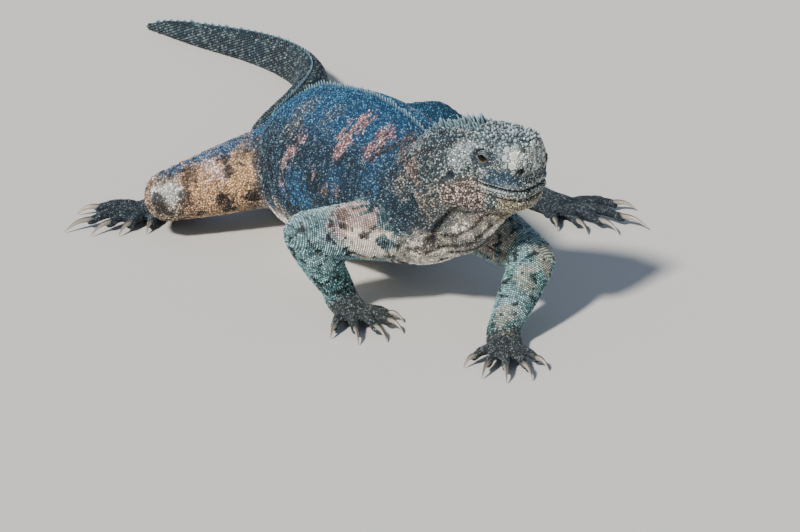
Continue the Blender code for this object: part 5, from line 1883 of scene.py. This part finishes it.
FLOOR_COLOUR = (0.66, 0.65, 0.62, 1)
SKY_COLOUR, SKY_STRENGTH = (0.62, 0.76, 1.0, 1), 0.36
SUN_COLOUR, SUN_STRENGTH, SUN_WIDTH = (1.0, 0.95, 0.88), 5.4, math.radians(6)
SUN_BACK, SUN_LEFT, SUN_UP = 0.95, 0.62, 0.62  # where the sun stands, from the camera's axes and the floor


def aimed(thing, way):
    """Turns a lamp or a camera to look along a way."""
    thing.rotation_mode = "QUATERNION"
    thing.rotation_quaternion = way.to_track_quat("-Z", "Y")


def build_stage():
    """A plain floor, a broad sun and a soft sky."""
    bpy.ops.mesh.primitive_plane_add(size=8)
    floor = bpy.context.object
    floor.name = "floor"
    material = bpy.data.materials.new("floor")
    material.use_nodes = True
    shader = material.node_tree.nodes["Principled BSDF"]
    shader.inputs["Base Color"].default_value = FLOOR_COLOUR
    shader.inputs["Roughness"].default_value = 0.9
    floor.data.materials.append(material)
    floor.location.z = -0.0001
    sun = bpy.data.lights.new("key", "SUN")
    sun.energy, sun.angle, sun.color = SUN_STRENGTH, SUN_WIDTH, SUN_COLOUR
    right, _, back = camera_axes()
    aimed(linked("key", sun), -(back * SUN_BACK - right * SUN_LEFT + Vector((0, 0, SUN_UP))))
    world = bpy.data.worlds.new("studio")
    bpy.context.scene.world = world
    world.use_nodes = True
    sky = world.node_tree.nodes["Background"]
    sky.inputs["Color"].default_value = SKY_COLOUR
    sky.inputs["Strength"].default_value = SKY_STRENGTH


def build_camera():
    _, _, back = camera_axes()
    camera = bpy.data.cameras.new("camera")
    camera.lens = LENS
    camera.sensor_width = SENSOR
    camera.clip_end = 50
    stand = linked("camera", camera)
    stand.location = pixel_point(*CENTRE_PX) - Vector(SHIFT) + back * CAMERA_DISTANCE
    aimed(stand, -back)
    bpy.context.scene.camera = stand


def add_hard_parts():
    """The claws and the eyeballs, each in the place of its solid."""
    horn = skin_material("horn", 0.35, 0.0012, 0.00005, 0.5)
    ball = eye_material()
    parts = [(f"horn_{foot}_{n + 1}", claw(foot, n), horn, f"claw_{foot}_{n + 1}", "claw")
             for foot in FEET for n in range(5)]
    parts += [(f"eyeball_{name}", eyeball(side), ball, f"eye_{name}", "eye")
              for name, side in (("left", 1), ("right", -1))]
    for name, (points, tris, quads, colours), material, node, slot in parts:
        made = mesh_piece(name, points, tris, quads, material)
        paint(made, colours)
        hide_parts(node)
        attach(made, "root")


def make_hide(mesh, skin):
    """The skin's own object, painted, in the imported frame."""
    hide = linked("skin", mesh)
    moved_to(mesh, skin.points - SHIFT)
    mesh.polygons.foreach_set("use_smooth", np.full(len(mesh.polygons), True))
    mesh.materials.append(skin_material("hide", 0.62, 0.0006, 0.0003))
    marks = skin.marks(skin.points, np.arange(len(skin.points)))
    # the skin between the scales: its dark ground, darkened further as painted shade between them
    paint(hide, marks.ground * 0.65 + marks.mean() * 0.18)
    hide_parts(*[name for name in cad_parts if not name.startswith(("claw_", "eye_"))])
    return hide


mesh, FOLD_LINES = make_skin()
skin = Skin(mesh)
BODY_PATCHES = patch_centres(skin)
hide = make_hide(mesh, skin)
spots, coats = Spots(), {}
scale = skin_material("scale", 0.50, 0.0009, 0.0001)
pieces = [hide, make_crest(skin, spots, scale)]
add_head_scales(skin, spots, coats)
add_lip_plates(skin, spots, coats)
dress(skin, spots, coats)
for coat in coats.values():
    pieces += coat.make(scale)
for piece in pieces:
    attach(piece, "root")
add_hard_parts()
build_stage()
build_camera()
